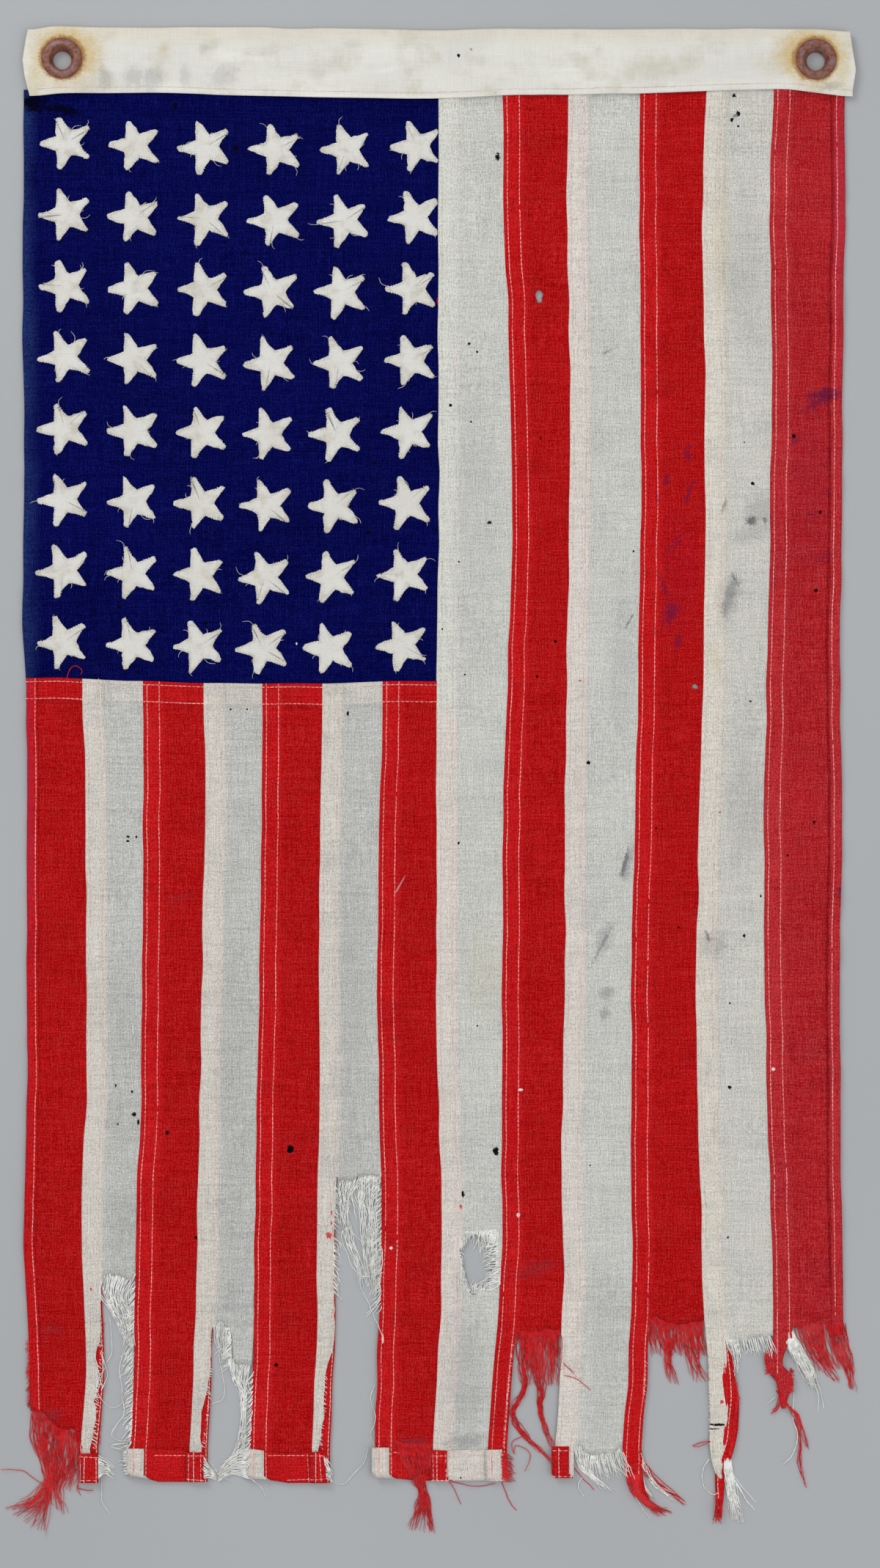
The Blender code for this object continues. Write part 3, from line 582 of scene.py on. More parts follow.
def lap_columns(weaver, stripe, rows):
    """The lap over the stripe's left neighbour, and the slope from it down to the panel."""
    left = SEAMS[stripe]
    for offset, *section in LAP_SECTION:
        def x_at(y, offset=offset):
            return left(y) + worn_offset(stripe, offset, y)
        common = common_rows(stripe, rows, x_at, *section)
        rest = strip_rows(stripe, "lap", x_at, offset, section)
        weaver.add(np.concatenate((common, rest)), 1.0)
    for offset, under, upper, share in LAP_SLOPE:
        points = panel_column(stripe, rows, beside(left, offset), 0.0, (under, upper), HEM_LEVELS["slope"])
        doubled = np.full(len(points), share)
        doubled[len(rows):] = np.linspace(0.1, 1.0, len(points) - len(rows))
        weaver.add(points, doubled)


def panel_columns(weaver, stripe, rows):
    """The single layer between a stripe's two seams or hems."""
    left, right = SEAMS[stripe], SEAMS[stripe + 1]
    first = LAP_SLOPE[-1][0] + 1.2 if stripe > 1 else SIDE_HEM + 1.0
    last = 0.7 if stripe < STRIPES else SIDE_HEM + 1.0
    for share in np.linspace(0.0, 1.0, PANEL_COLUMNS):
        def x_at(y, share=share):
            start, end = left(y) + first, right(y) - last
            return start + share * (end - start)
        levels = (0.0, CLOTH, *HEM_LEVELS["slope" if share == 1.0 else "panel"][2:])
        points = panel_column(stripe, rows, x_at, share, (0.0, CLOTH), levels)
        doubled = np.zeros(len(points))
        if stripe < FIRST_LONG:
            doubled[points[:, 0, 1] > CANTON_FOOT(points[:, 0, 0]) - BAND] = 0.6
        turned = np.arange(len(points) - len(rows))
        doubled[len(rows):] = np.where(turned > HEM_DOWN, 1.0, 0.1)
        weaver.add(points, doubled)


def allowance_columns(weaver, stripe, rows):
    """The cloth that is left under the lap of the stripe's right neighbour."""
    start_row = 0
    if stripe == FIRST_LONG - 1:
        start_row = int(np.argmax(rows < SHORT_TOP - BAND - 0.5))
    for offset in (0.3, 3.0, 6.0, ALLOWANCE):
        x_at = beside(SEAMS[stripe + 1], offset)
        common = common_rows(stripe, rows, x_at, 0.0, CLOTH)
        points = np.concatenate((common, strip_rows(stripe, "allowance", x_at, offset, (0.0, CLOTH))))
        if offset > 0.3:
            weaver.add(points, 1.0, start_row)
        else:
            weaver.add(points, 1.0, 0, len(rows) if stripe in TEARS else None)


def stripe_grids(stripe):
    """Plan, heights and cloth squares of one stripe."""
    rows = stations(stripe)
    weaver = Weaver()
    if stripe == 1:
        side_columns(weaver, stripe, rows, 1)
    else:
        lap_columns(weaver, stripe, rows)
    panel_columns(weaver, stripe, rows)
    if stripe == STRIPES:
        side_columns(weaver, stripe, rows, -1)
    else:
        allowance_columns(weaver, stripe, rows)
    return weaver.grids()


def open_hole(under, upper, cells, x, y, away, edge):
    """Takes out the squares inside a hole and draws the other points in it out to its edge."""
    inside = away < edge
    cells &= ~(inside[:-1, :-1] & inside[1:, :-1] & inside[:-1, 1:] & inside[1:, 1:])
    grow = np.where(inside, edge / np.maximum(away, 0.05 * edge), 1.0)
    for grid in (under, upper):
        grid[..., 0] = x + (grid[..., 0] - x) * grow
        grid[..., 1] = y + (grid[..., 1] - y) * grow


def open_holes(stripe, under, upper, cells):
    """Takes the cloth out of a stripe's holes, each a ragged oval."""
    for index, (x, y, half_width, half_length) in enumerate(HOLES.get(stripe, ())):
        across, along = upper[..., 0] - x, upper[..., 1] - y
        turn = np.arctan2(along, across)
        edge = 1 + 0.10 * np.sin(3 * turn + index) + 0.06 * np.sin(7 * turn + stripe)
        edge = edge + 0.05 * np.sin(13 * turn)
        open_hole(under, upper, cells, x, y, np.hypot(across / half_width, along / half_length), edge)


def make_stripe_cloth(stripe, material):
    """One stripe, and the flat size that it was cut to."""
    under, upper, doubled, cells = stripe_grids(stripe)
    open_holes(stripe, under, upper, cells)
    area = flat_area(upper[..., :2], cells)
    lift = ground(upper[..., 0], upper[..., 1])
    under[..., 2] += lift
    upper[..., 2] += lift
    piece = closed_sheet(f"stripe_{stripe:02d}_cloth", under, upper, cells, material, doubled)
    return piece, area


# ---------------------------------------------------------------- shader trees

class Nodes:
    """Adds nodes to a tree; an input is a number, a colour or another node's output."""

    def __init__(self, tree):
        self.tree = tree

    def node(self, kind, *values, **settings):
        """The values go to the node's inputs in their order; None leaves an input as it is."""
        node = self.tree.nodes.new(kind)
        for name, value in settings.items():
            setattr(node, name, value)
        for socket, value in zip(node.inputs, values):
            self.put(socket, value)
        return node

    def put(self, socket, value):
        if value is None:
            return
        if isinstance(value, bpy.types.NodeSocket):
            self.tree.links.new(value, socket)
        elif socket.type == "RGBA":
            socket.default_value = (*value, 1.0)
        else:
            socket.default_value = value

    def place(self):
        return self.node("ShaderNodeTexCoord").outputs["Object"]

    def read(self, layer):
        return self.node("ShaderNodeAttribute", attribute_name=layer).outputs["Fac"]

    def split(self, place):
        return self.node("ShaderNodeSeparateXYZ", place).outputs

    def math(self, operation, a, b=None, c=None, clamp=False):
        return self.node("ShaderNodeMath", a, b, c, operation=operation, use_clamp=clamp).outputs[0]

    def vector(self, operation, a, b=None, scale=None):
        return self.node("ShaderNodeVectorMath", a, b, None, scale, operation=operation).outputs[0]

    def mix(self, share, a, b):
        return self.node("ShaderNodeMix", share, *[None] * 5, a, b, data_type="RGBA").outputs[2]

    def lay(self, colour, tint, mask, share, clamp=False):
        """A colour with a tint laid over it where a mask says, up to a share."""
        return self.mix(self.math("MULTIPLY", mask, share, clamp=clamp), colour, tint)

    def stretch(self, value, low, high, new_low=0.0, new_high=1.0, kind="SMOOTHSTEP"):
        return self.node("ShaderNodeMapRange", value, low, high, new_low, new_high,
                         interpolation_type=kind).outputs[0]

    def noise(self, place, scale, detail=2.0, roughness=0.5):
        return self.node("ShaderNodeTexNoise", place, None, scale, detail, roughness).outputs[0]

    def patches(self, place, scale, low, high, detail=2.0, roughness=0.5):
        """Soft patches from 0 to 1, cut out of noise between two of its levels."""
        return self.stretch(self.noise(place, scale, detail, roughness), low, high)

    def bump(self, height, strength, distance):
        return self.node("ShaderNodeBump", strength, distance, None, height).outputs[0]

    def group(self, tree, **values):
        node = self.node(f"{tree.bl_idname[:-4]}Group", node_tree=tree)
        for name, value in values.items():
            self.put(node.inputs[name.replace("_", " ")], value)
        return node.outputs


def new_tree(kind, name, inputs, outputs):
    """An empty tree with named sockets: itself, its nodes, what it is given and what it gives."""
    tree = bpy.data.node_groups.new(name, f"{kind}NodeTree")
    for socket, holds, default in inputs:
        item = tree.interface.new_socket(socket, in_out="INPUT", socket_type=f"NodeSocket{holds}")
        if default is not None:
            item.default_value = default
    for socket, holds in outputs:
        tree.interface.new_socket(socket, in_out="OUTPUT", socket_type=f"NodeSocket{holds}")
    given = tree.nodes.new("NodeGroupInput").outputs
    result = tree.nodes.new("NodeGroupOutput").inputs
    return tree, Nodes(tree), given, result


def weave_group():
    """Plain weave seen close: how light each thread is, and how high it stands."""
    tree, s, given, result = new_tree(
        "Shader", "weave",
        (("Thread Pitch", "Float", 0.0007), ("Fleck", "Float", 0.5), ("Streaks", "Float", 0.5)),
        (("Tone", "Float"), ("Height", "Float")))
    place = s.place()
    bend = s.math("MULTIPLY_ADD", s.noise(place, 110.0), 3.0, -1.5)
    threads = s.vector("SCALE", place, scale=s.math("DIVIDE", 1.0, given["Thread Pitch"]))
    x, y, _ = s.split(threads)
    across = s.math("ADD", x, bend)
    along = s.math("SUBTRACT", y, bend)
    warp = s.math("SINE", s.math("MULTIPLY", across, 2 * math.pi))
    weft = s.math("SINE", s.math("MULTIPLY", along, 2 * math.pi))
    crossing = s.math("MULTIPLY", warp, weft)
    patch = s.stretch(s.noise(place, 300.0, 2.0, 0.6), 0.38, 0.62, kind="LINEAR")
    tone = s.math("MULTIPLY", warp, s.math("MULTIPLY_ADD", patch, 0.75, 0.25))
    tone = s.math("MULTIPLY_ADD", weft, s.math("MULTIPLY_ADD", patch, -0.35, 0.50), tone)
    tone = s.math("MULTIPLY_ADD", crossing, 0.5, tone)
    warp_place = s.node("ShaderNodeCombineXYZ", across, s.math("MULTIPLY", along, 0.04), 0.0).outputs[0]
    weft_place = s.node("ShaderNodeCombineXYZ", s.math("MULTIPLY", across, 0.04), along, 7.0).outputs[0]
    streak = s.math("ADD", s.noise(warp_place, 0.9, 1.0), s.noise(weft_place, 0.9, 1.0))
    speck = s.math("MULTIPLY_ADD", s.noise(threads, 0.8, 2.0, 0.7), 3.2, -1.6)
    tone = s.math("MULTIPLY", s.math("ADD", tone, speck), given["Fleck"])
    tone = s.math("MULTIPLY_ADD", s.math("SUBTRACT", streak, 1.0), given["Streaks"], tone)
    s.put(result["Tone"], tone)
    ridges = s.math("MULTIPLY_ADD", weft, 0.6, warp)
    s.put(result["Height"], s.math("MULTIPLY_ADD", crossing, 0.4, s.math("MULTIPLY", ridges, 0.3)))
    return tree


def mark_group():
    """An oval mark with a ragged edge, anywhere on the cloth."""
    tree, s, given, result = new_tree(
        "Shader", "mark",
        (("Centre", "Vector", (0, 0, 0)), ("Size", "Vector", (0.001, 0.001, 1)), ("Turn", "Float", 0.0),
         ("Softness", "Float", 0.4), ("Raggedness", "Float", 0.5)),
        (("Mask", "Float"),))
    place = s.place()
    away = s.vector("SUBTRACT", place, given["Centre"])
    turned = s.node("ShaderNodeVectorRotate", away, None, None, given["Turn"], rotation_type="Z_AXIS")
    flat = s.vector("MULTIPLY", turned.outputs[0], (1.0, 1.0, 0.0))
    away = s.vector("DIVIDE", flat, given["Size"])
    length = s.node("ShaderNodeVectorMath", away, operation="LENGTH").outputs["Value"]
    ragged = s.math("ADD", s.noise(place, 1300.0, 2.0, 0.6), s.noise(place, 260.0, 2.0, 0.6))
    ragged = s.math("SUBTRACT", ragged, 1.0)
    length = s.math("MULTIPLY_ADD", ragged, s.math("MULTIPLY", given["Raggedness"], 2.2), length)
    low = s.math("SUBTRACT", 1.0, given["Softness"])
    high = s.math("ADD", 1.0, given["Softness"])
    s.put(result["Mask"], s.stretch(length, high, low))
    return tree


def wear_group():
    """Slow changes over a cloth: fading, greying and small folds, each from 0 to 1."""
    tree, s, given, result = new_tree(
        "Shader", "wear",
        (("Patch Size", "Float", 0.05), ("Contrast", "Float", 0.5)),
        (("Fade", "Float"), ("Soil", "Float"), ("Pucker", "Float")))
    place = s.place()
    scale = s.math("DIVIDE", 1.0, given["Patch Size"])
    low = s.math("MULTIPLY_ADD", given["Contrast"], -0.25, 0.4)
    high = s.math("MULTIPLY_ADD", given["Contrast"], 0.25, 0.6)
    s.put(result["Fade"], s.patches(place, scale, low, high, 3.0, 0.55))
    shifted = s.vector("ADD", place, (0.37, 0.91, 0.0))
    s.put(result["Soil"], s.patches(shifted, s.math("MULTIPLY", scale, 2.3), 0.48, 0.72, 4.0, 0.65))
    squeezed = s.vector("MULTIPLY", place, (0.35, 1.0, 0.0))
    s.put(result["Pucker"], s.noise(squeezed, 260.0))
    return tree


def shared_groups():
    """The shader groups that several finishes use, each built once."""
    makers = {"weave": weave_group, "mark": mark_group, "wear": wear_group}
    return {name: bpy.data.node_groups.get(name) or make() for name, make in makers.items()}


def new_material(name, roughness, sheen=0.0, metallic=0.0, specular=0.12):
    """A material, its nodes, and the inputs of its finish."""
    material = bpy.data.materials.new(name)
    material.use_nodes = True
    finish = material.node_tree.nodes["Principled BSDF"].inputs
    finish["Roughness"].default_value = roughness
    finish["Sheen Weight"].default_value = sheen
    finish["Metallic"].default_value = metallic
    finish["Specular IOR Level"].default_value = specular
    return material, Nodes(material.node_tree), finish


def paint(red, green, blue):
    """A colour given in screen values from 0 to 255, as the linear values that a shader reads."""
    values = np.array((red, green, blue)) / 255
    linear = np.where(values <= 0.04045, values / 12.92, ((values + 0.055) / 1.055) ** 2.4)
    return tuple(float(value) for value in linear)


# Marks are laid over a cloth in this order of kinds.
MARK_KINDS = {
    # kind: colour, cover, softness, raggedness
    # hole: small holes painted as near-black spots, a painted shade of the opening; the mesh stays whole
    # there
    "hole": ((0.002, 0.002, 0.004), 1.00, 0.15, 0.80),
    "grime": ((0.030, 0.034, 0.050), 0.75, 0.55, 1.00),
    "smear": ((0.110, 0.120, 0.135), 0.60, 0.60, 0.80),
    "yellow": ((0.520, 0.420, 0.160), 0.45, 0.70, 0.50),
    "dye": ((0.560, 0.012, 0.020), 0.90, 0.25, 0.80),
    "lint": ((0.800, 0.790, 0.760), 0.88, 0.15, 0.40),
    "ink": (paint(76, 20, 62), 0.75, 0.55, 1.10),
    "shade": (paint(3, 3, 18), 0.95, 0.50, 1.20),
    # fold: painted shade along the inner edge of the right side's hem, laid by hem_shadow
    "fold": (paint(96, 4, 10), 0.80, 0.60, 0.50),
    "faded": (paint(172, 38, 62), 0.60, 0.60, 0.60),
}


def mark_mask(s, mark, x, y, half_width, half_length, turn, softness, raggedness):
    """Where one oval mark lies; its place and size are in millimetres and its turn in degrees."""
    return s.group(mark, Centre=(x * MM, y * MM, 0.0), Turn=-math.radians(turn),
                   Size=(half_width * MM, half_length * MM, 1.0), Softness=softness, Raggedness=raggedness)[0]


def add_marks(s, colour, mark, piece):
    """Lays the marks of one piece over its colour."""
    marks = marks_on(piece)
    for kind, (tint, cover, softness, ragged) in MARK_KINDS.items():
        mask = None
        for x, y, half_width, *rest in marks.get(kind, ()):
            half_length, turn, strength = (*rest, *(half_width, 0, 1)[len(rest):])
            oval = mark_mask(s, mark, x, y, half_width, half_length, turn, softness, ragged)
            this = s.math("MULTIPLY", oval, strength)
            mask = this if mask is None else s.math("MAXIMUM", mask, this)
        if mask is not None:
            colour = s.lay(colour, tint, mask, cover)
    return colour


def threads_over(s, colour, tone, light, light_share, dark, dark_share):
    """Lightens and darkens a colour along the threads of its weave."""
    colour = s.lay(colour, light, s.math("MAXIMUM", tone, 0.0), light_share, clamp=True)
    low = s.math("MAXIMUM", s.math("MULTIPLY", tone, -1.0), 0.0)
    return s.lay(colour, dark, low, dark_share, clamp=True)


def bunting_material(name, settings, look, node, sides=None):
    """Loosely woven bunting in one of the looks, with the marks of its piece."""
    groups = shared_groups()
    if look["setting"]:
        look = {**look, "single": tuple(getattr(settings, look["setting"]))}
    material, s, finish = new_material(name, 0.9, sheen=look["sheen"], specular=look["sheen"])
    doubled = s.read("doubled")
    weave = s.group(groups["weave"], Thread_Pitch=look["pitch"], Fleck=look["fleck"],
                    Streaks=look["streaks"])
    wear = s.group(groups["wear"], Patch_Size=look["patch"], Contrast=0.7)
    single = s.mix(wear["Fade"], look["single"], look["single faded"])
    twofold = s.mix(wear["Fade"], look["doubled"], look["doubled faded"])
    colour = s.mix(doubled, single, twofold)
    colour = s.lay(colour, look["soil colour"], wear["Soil"], look["soil"])
    if sides is not None:
        colour = sides(s, colour)
    colour = threads_over(s, colour, weave["Tone"], look["light"], look["light share"],
                          look["dark"], look["dark share"])
    s.put(finish["Base Color"], add_marks(s, colour, groups["mark"], node))
    pucker = s.math("MULTIPLY", wear["Pucker"], s.math("MULTIPLY_ADD", doubled, 2.6, 1.0))
    height = s.math("MULTIPLY_ADD", weave["Height"], 0.35, pucker)
    s.put(finish["Normal"], s.bump(height, 0.55, 0.0006))
    return material


def yarn_material(name, colour, shade, light):
    """Loose yarn and sewing thread, a little uneven along its length."""
    material, s, finish = new_material(name, 0.85, sheen=0.15)
    place = s.place()
    tint = s.mix(s.patches(place, 420.0, 0.35, 0.65), shade, colour)
    s.put(finish["Base Color"], s.lay(tint, light, s.patches(place, 60.0, 0.45, 0.7), 0.6))
    s.put(finish["Normal"], s.bump(s.noise(place, 2600.0), 0.4, 0.0001))
    return material


# ---------------------------------------------------------------- colours and stains

# Colours and weave of the bunting; the setting of a look gives its single colour.
RED_LOOK = {
    "setting": "red",
    "single": paint(170, 0, 2), "single faded": paint(182, 3, 6),
    "doubled": paint(193, 6, 12), "doubled faded": paint(203, 16, 21),
    "soil": 0.25, "soil colour": paint(140, 6, 13),
    "light": paint(228, 74, 74), "light share": 0.40,
    "dark": paint(104, 0, 2), "dark share": 0.70,
    "pitch": 0.00070, "fleck": 1.05, "streaks": 1.0, "patch": 0.06,
    "sheen": 0.02,
}
WORN_RED_LOOK = {
    **RED_LOOK,
    "setting": None,
    "single": paint(164, 8, 17), "single faded": paint(177, 22, 30),
    "doubled": paint(178, 24, 32), "doubled faded": paint(190, 40, 46),
    "soil colour": paint(146, 34, 52), "light": paint(228, 100, 102), "light share": 0.42,
}
WHITE_LOOK = {
    "setting": "white",
    "single": paint(202, 202, 195), "single faded": paint(190, 190, 184),
    "doubled": paint(222, 210, 202), "doubled faded": paint(214, 203, 193),
    "soil": 0.40, "soil colour": paint(174, 176, 172),
    "light": paint(240, 239, 232), "light share": 0.50,
    "dark": paint(124, 124, 118), "dark share": 0.45,
    "pitch": 0.00074, "fleck": 1.20, "streaks": 1.15, "patch": 0.05,
    "sheen": 0.08,
}
SHEER_LOOK = {
    **WHITE_LOOK,
    "setting": "sheer_white",
    "single": paint(188, 188, 182), "single faded": paint(180, 180, 175),
    "doubled": paint(215, 206, 195), "doubled faded": paint(207, 199, 187),
    "soil colour": paint(162, 163, 160), "dark": paint(112, 112, 110), "dark share": 0.42,
}
CREAM_LOOK = {
    **WHITE_LOOK,
    "setting": None,
    "single": paint(205, 202, 193), "single faded": paint(194, 191, 182),
    "doubled": paint(221, 212, 198), "doubled faded": paint(213, 204, 190),
}
BLUE_LOOK = {
    "setting": "blue",
    "single": paint(1, 2, 60), "single faded": paint(3, 5, 74),
    "doubled": paint(1, 2, 60), "doubled faded": paint(3, 5, 74),
    "soil": 0.4, "soil colour": paint(2, 3, 48),
    "light": paint(36, 42, 132), "light share": 0.40,
    "dark": paint(0, 0, 26), "dark share": 0.80,
    "pitch": 0.00070, "fleck": 0.95, "streaks": 1.1, "patch": 0.07,
    "sheen": 0.01,
}

# The look of each stripe, from stripe 1.
STRIPE_LOOKS = (
    *(RED_LOOK, SHEER_LOOK) * 3, RED_LOOK,
    WHITE_LOOK, RED_LOOK, WHITE_LOOK, RED_LOOK, CREAM_LOOK, WORN_RED_LOOK,
)

# Every stain and speck on the cloth, and the small holes painted as dark shade, at its place; the piece that
# lies there takes it.
MARKS = {
    # kind: (x, y, half width, half length, turn in degrees, strength), ...; the last three may be left out
    # small holes, painted as spots of dark shade on cloth that is not opened there
    "hole": (
        (-149, -40, 0.8, 0.5), (-149, -42, 0.8, 0.5), (-145, -40, 0.6, 0.7), (-146, -175, 0.9),
        (-144, -179, 0.5, 1.2), (-154, -180, 0.5), (-155, -161, 0.6, 0.9), (-147, -164, 0.5),
        (-130, -184, 0.9), (-116, -235, 0.6, 0.8), (-99, 22, 0.5), (-91, 22, 0.5), (-77, -297, 0.8),
        (-70, -192, 1.4, 1.6), (-42, 20, 0.5, 0.8), (31, 291, 1.2, 1.7), (17, 200, 0.7, 0.6),
        (21, 196, 0.5), (8, 170, 0.7), (18, 162, 0.5), (27, 113, 1, 0.8), (12, 94, 0.5), (4, 61, 0.5),
        (15, 39, 0.5), (12, -43, 0.5, 0.6), (21, -132, 0.5), (30, -193, 1.4, 1.7), (14, -214, 1, 1.5),
        (13, -352, 0.4), (52, 154, 0.6), (59, 55, 0.6), (50, 38, 0.7), (85, 196, 0.4), (97, 99, 0.5),
        (75, -4, 0.9), (76, -200, 0.4), (108, -36, 0.5, 0.8), (119, -84, 0.6), (146, 321, 0.9),
        (148, 312, 0.8, 1.2), (145, 309, 0.7, 1, -20), (148, 306, 0.6), (151, 152, 0.5), (155, 132, 0.8),
        (154, 26, 0.5), (159, -69, 0.4, 0.7), (151, -88, 0.6, 0.8), (144, -121, 0.5), (144, -162, 0.9),
        (143, -235, 0.5), (137, -326, 4.2, 0.5), (136, -328, 2.4, 0.3), (175, 155, 0.9), (188, 118, 0.7, 1),
        (186, 80, 1, 0.8), (185, -33, 0.9), (172, -49, 0.5, 0.6), (-126, 316, 0.8, 1.6), (-96, 295, 1.2),
        (-92, 244, 0.4, 2), (-79, 205, 0.6, 0.9), (-29, 142, 0.9), (-32, 108, 1), (1, 109, 0.7, 0.9),
        (-66, 91, 0.8), (-182, 104, 0.8), (-153, 72, 0.9, 0.7), (-111, 64, 0.9), (-144, 40, 0.8),
        (12, 340, 0.8, 0.9),
    ),
    "grime": (
        (-198, -318, 2.5, 9, 0, 0.35), (-187, -322, 5, 3, 20, 0.35), (-192, -69, 0.7, 0.7, 0, 0.9),
        (-186, -280, 5, 2, 10, 0.25), (-124, -70, 6, 1.4, 10, 0.25), (-10, -335, 8, 2.2, 0, 0.5),
        (50, -250, 9, 3, 20, 0.3), (84, 196, 2.2, 0.6, 30, 0.6), (95, 65, 0.5, 3.4, -30, 0.7),
        (93, -52, 0.9, 6.5, -13, 0.8), (82, -92, 0.8, 9, -28, 0.55), (154, 114, 2.8, 1.9, 0, 0.95),
        (161, 114, 1.1, 1.6, 0, 0.8), (141, 121, 0.7, 3.4, -20, 0.6), (144, 78, 2.2, 9, -16, 0.5),
        (146, 86, 1, 3.4, 30, 0.7), (133, -88, 0.9, 3, 20, 0.7), (18, 343, 0.5, 0.5, 0, 0.8),
        (-200, 322, 1.5, 1, 0, 0.7), (30, 322, 0.6, 0.5, 0, 0.6),
    ),
    "smear": (
        (-153, -150, 8, 50, 0, 0.15), (-152, -230, 8, 22, 0, 0.25), (-97, -160, 8, 70, 0, 0.18),
        (-95, -262, 7, 18, 0, 0.2), (-40, -110, 8, 70, 0, 0.2), (-40, -190, 8, 14, 0, 0.12),
        (15, -334, 9, 4, 0, 0.65), (15, -300, 9, 34, 0, 0.35), (20, 120, 10, 60, 0, 0.15),
        (94, -53, 2.4, 8, -13, 0.6), (83, -90, 3.5, 8, -20, 0.5), (84, -116, 3, 3.6, 0, 0.6),
        (83, -126, 2.6, 3.2, 0, 0.6), (92, 40, 6, 30, 0, 0.25), (84, -290, 9, 40, 0, 0.22),
        (158, 118, 6.5, 9, 0, 0.4), (153, 108, 8, 4, 20, 0.3), (144, 77, 5.2, 12, -10, 0.45),
        (136, -92, 6, 6, 0, 0.4), (152, 240, 8, 40, 0, 0.2), (152, -20, 8, 40, 0, 0.25),
        (-160, 329, 3, 5, 6, 0.4), (-146, 330, 4.2, 5, -4, 0.4), (-137, 329, 4.5, 5, 8, 0.45),
        (-121, 330, 2.4, 4.4, 0, 0.32), (-103, 330, 6, 4.6, 20, 0.35), (-112, 343, 3, 2, 0, 0.25),
        (-60, 334, 14, 3, 4, 0.12), (-40, 346, 5, 2, 0, 0.2), (193, 325, 4.5, 1.8, 10, 0.5),
    ),
    "yellow": (
        (25, -105, 8, 22, 0, 0.3), (137, 46, 3.4, 6, 0, 0.4), (140, 250, 4, 30, 0, 0.3),
        (-131, 343, 2, 2, 0, 0.6), (-195, 325, 4, 9, 0, 0.7), (199, 330, 3, 10, 0, 0.6),
        (168, 335, 12, 5, 2, 0.25), (196, 338, 3, 9, 20, 0.5),
    ),
    "dye": (
        (-167, -260, 0.5, 0.7), (-162, -264, 0.5, 0.6), (-50, -223, 0.6, 1.2), (-51, -234, 1.4, 2, 15),
        (-50, -228, 0.4, 0.9), (13, -220, 0.7, 1.1), (2, 221, 0.5, 1.6), (71, 58, 0.6, 0.9, 0, 0.3),
        (71, 36, 0.5), (139, -28, 0.5), (141, -307, 0.8, 1.2), (140, -315, 1, 0.8, 20),
    ),
    "lint": (
        (-17, -64, 0.4, 5, -30, 0.3), (-21, -240, 0.8), (-25, -284, 0.4, 2.4), (42, -163, 1, 0.6),
        (41, -224, 0.7, 1), (165, -153, 0.8), (-67, 54, 0.4, 0.6),
    ),
    "ink": (
        (123, 146, 1.3, 2.4, 20, 0.75), (113, 134, 1.2, 2.8, -15, 0.7), (109, 125, 1, 3, 10, 0.65),
        (124, 127, 0.9, 5, -20, 0.7), (115, 69, 3.4, 5.6, -20, 0.75), (119, 55, 1.6, 2.6, 0, 0.65),
        (112, 82, 1.2, 5, 20, 0.6), (120, 92, 9, 26, 0, 0.1), (124, 150, 1.2, 1.6, 0, 0.5),
        (118, 103, 5, 2, 50, 0.4), (190, 175, 6.3, 3.4, 18, 0.95), (186, 171, 5, 2, 30, 0.7),
        (176, 153, 2.2, 1.4, 0, 0.6), (183, 117, 1.4, 1, 0, 0.6), (198, -67, 1.4, 2.2, 0, 0.7),
        (184, 130, 9, 34, 0, 0.12), (191, 128, 1.2, 4, 20, 0.35), (190, 96, 5, 2.5, 30, 0.3),
    ),
    "shade": (
        (-196, 317, 7, 3.2, -6), (-182, 314, 8, 2.2, -10, 0.9),
    ),
    "faded": (
        (-198, -15, 2.8, 70, 1, 0.9), (-199, -130, 2.4, 60, 1, 0.5), (198, 270, 3.4, 60, 0, 0.7),
    ),
}


def piece_at(x, y):
    """Name of the CAD node whose cloth is uppermost at a place."""
    if y > HEADING_LOWER(x):
        return "heading"
    if y > CANTON_FOOT(x) and x < SEAMS[FIRST_LONG](y):
        return "canton"
    begun = [stripe for stripe in range(1, STRIPES + 1) if x >= SEAMS[stripe](y)]
    return f"stripe_{max(begun, default=1):02d}"


def hem_shadow():
    """A painted shadow along the inner edge of the right side's hem, as a chain of narrow marks."""
    edge = beside(SEAMS[STRIPES + 1], -6.4)
    turns = {y: -math.degrees(math.atan2(edge(y + 15) - edge(y - 15), 30.0)) for y in range(300, -270, -30)}
    return [(edge(y), y, 0.55, 22.0, turn, 0.75) for y, turn in turns.items()]


def marks_on(piece):
    """The rows of MARKS that lie on one piece, by kind."""
    found = {kind: [row for row in rows if piece_at(*row[:2]) == piece] for kind, rows in MARKS.items()}
    if piece == f"stripe_{STRIPES}":
        # the last stripe also takes the painted shadow along the inner edge of its hem
        found["fold"] = hem_shadow()
    return found


def canton_sides(s, colour):
    """Fades the canton along its left edge, where light and wear have taken the dye."""
    place = s.place()
    wander = s.noise(s.vector("MULTIPLY", place, (1.0, 0.5, 0.0)), 60.0, 3.0)
    across = s.math("MULTIPLY_ADD", wander, 0.010, s.split(place)[0])
    edge = s.stretch(across, -0.1975, -0.1860, 1.0, 0.0)
    spotted = s.stretch(s.noise(place, 900.0, 2.0, 0.7), 0.35, 0.65, kind="LINEAR")
    edge = s.math("MULTIPLY", edge, s.math("MULTIPLY_ADD", spotted, 0.7, 0.3))
    return s.lay(colour, paint(52, 76, 128), edge, 0.75)


def pale_lap(s, colour):
    """The lap of stripe 8 is greenish beside the canton, where no red has run into it."""
    beside_canton = s.stretch(s.split(s.place())[1], 0.014, 0.030)
    return s.lay(colour, paint(210, 212, 202), beside_canton, s.read("doubled"))


# ---------------------------------------------------------------- canton


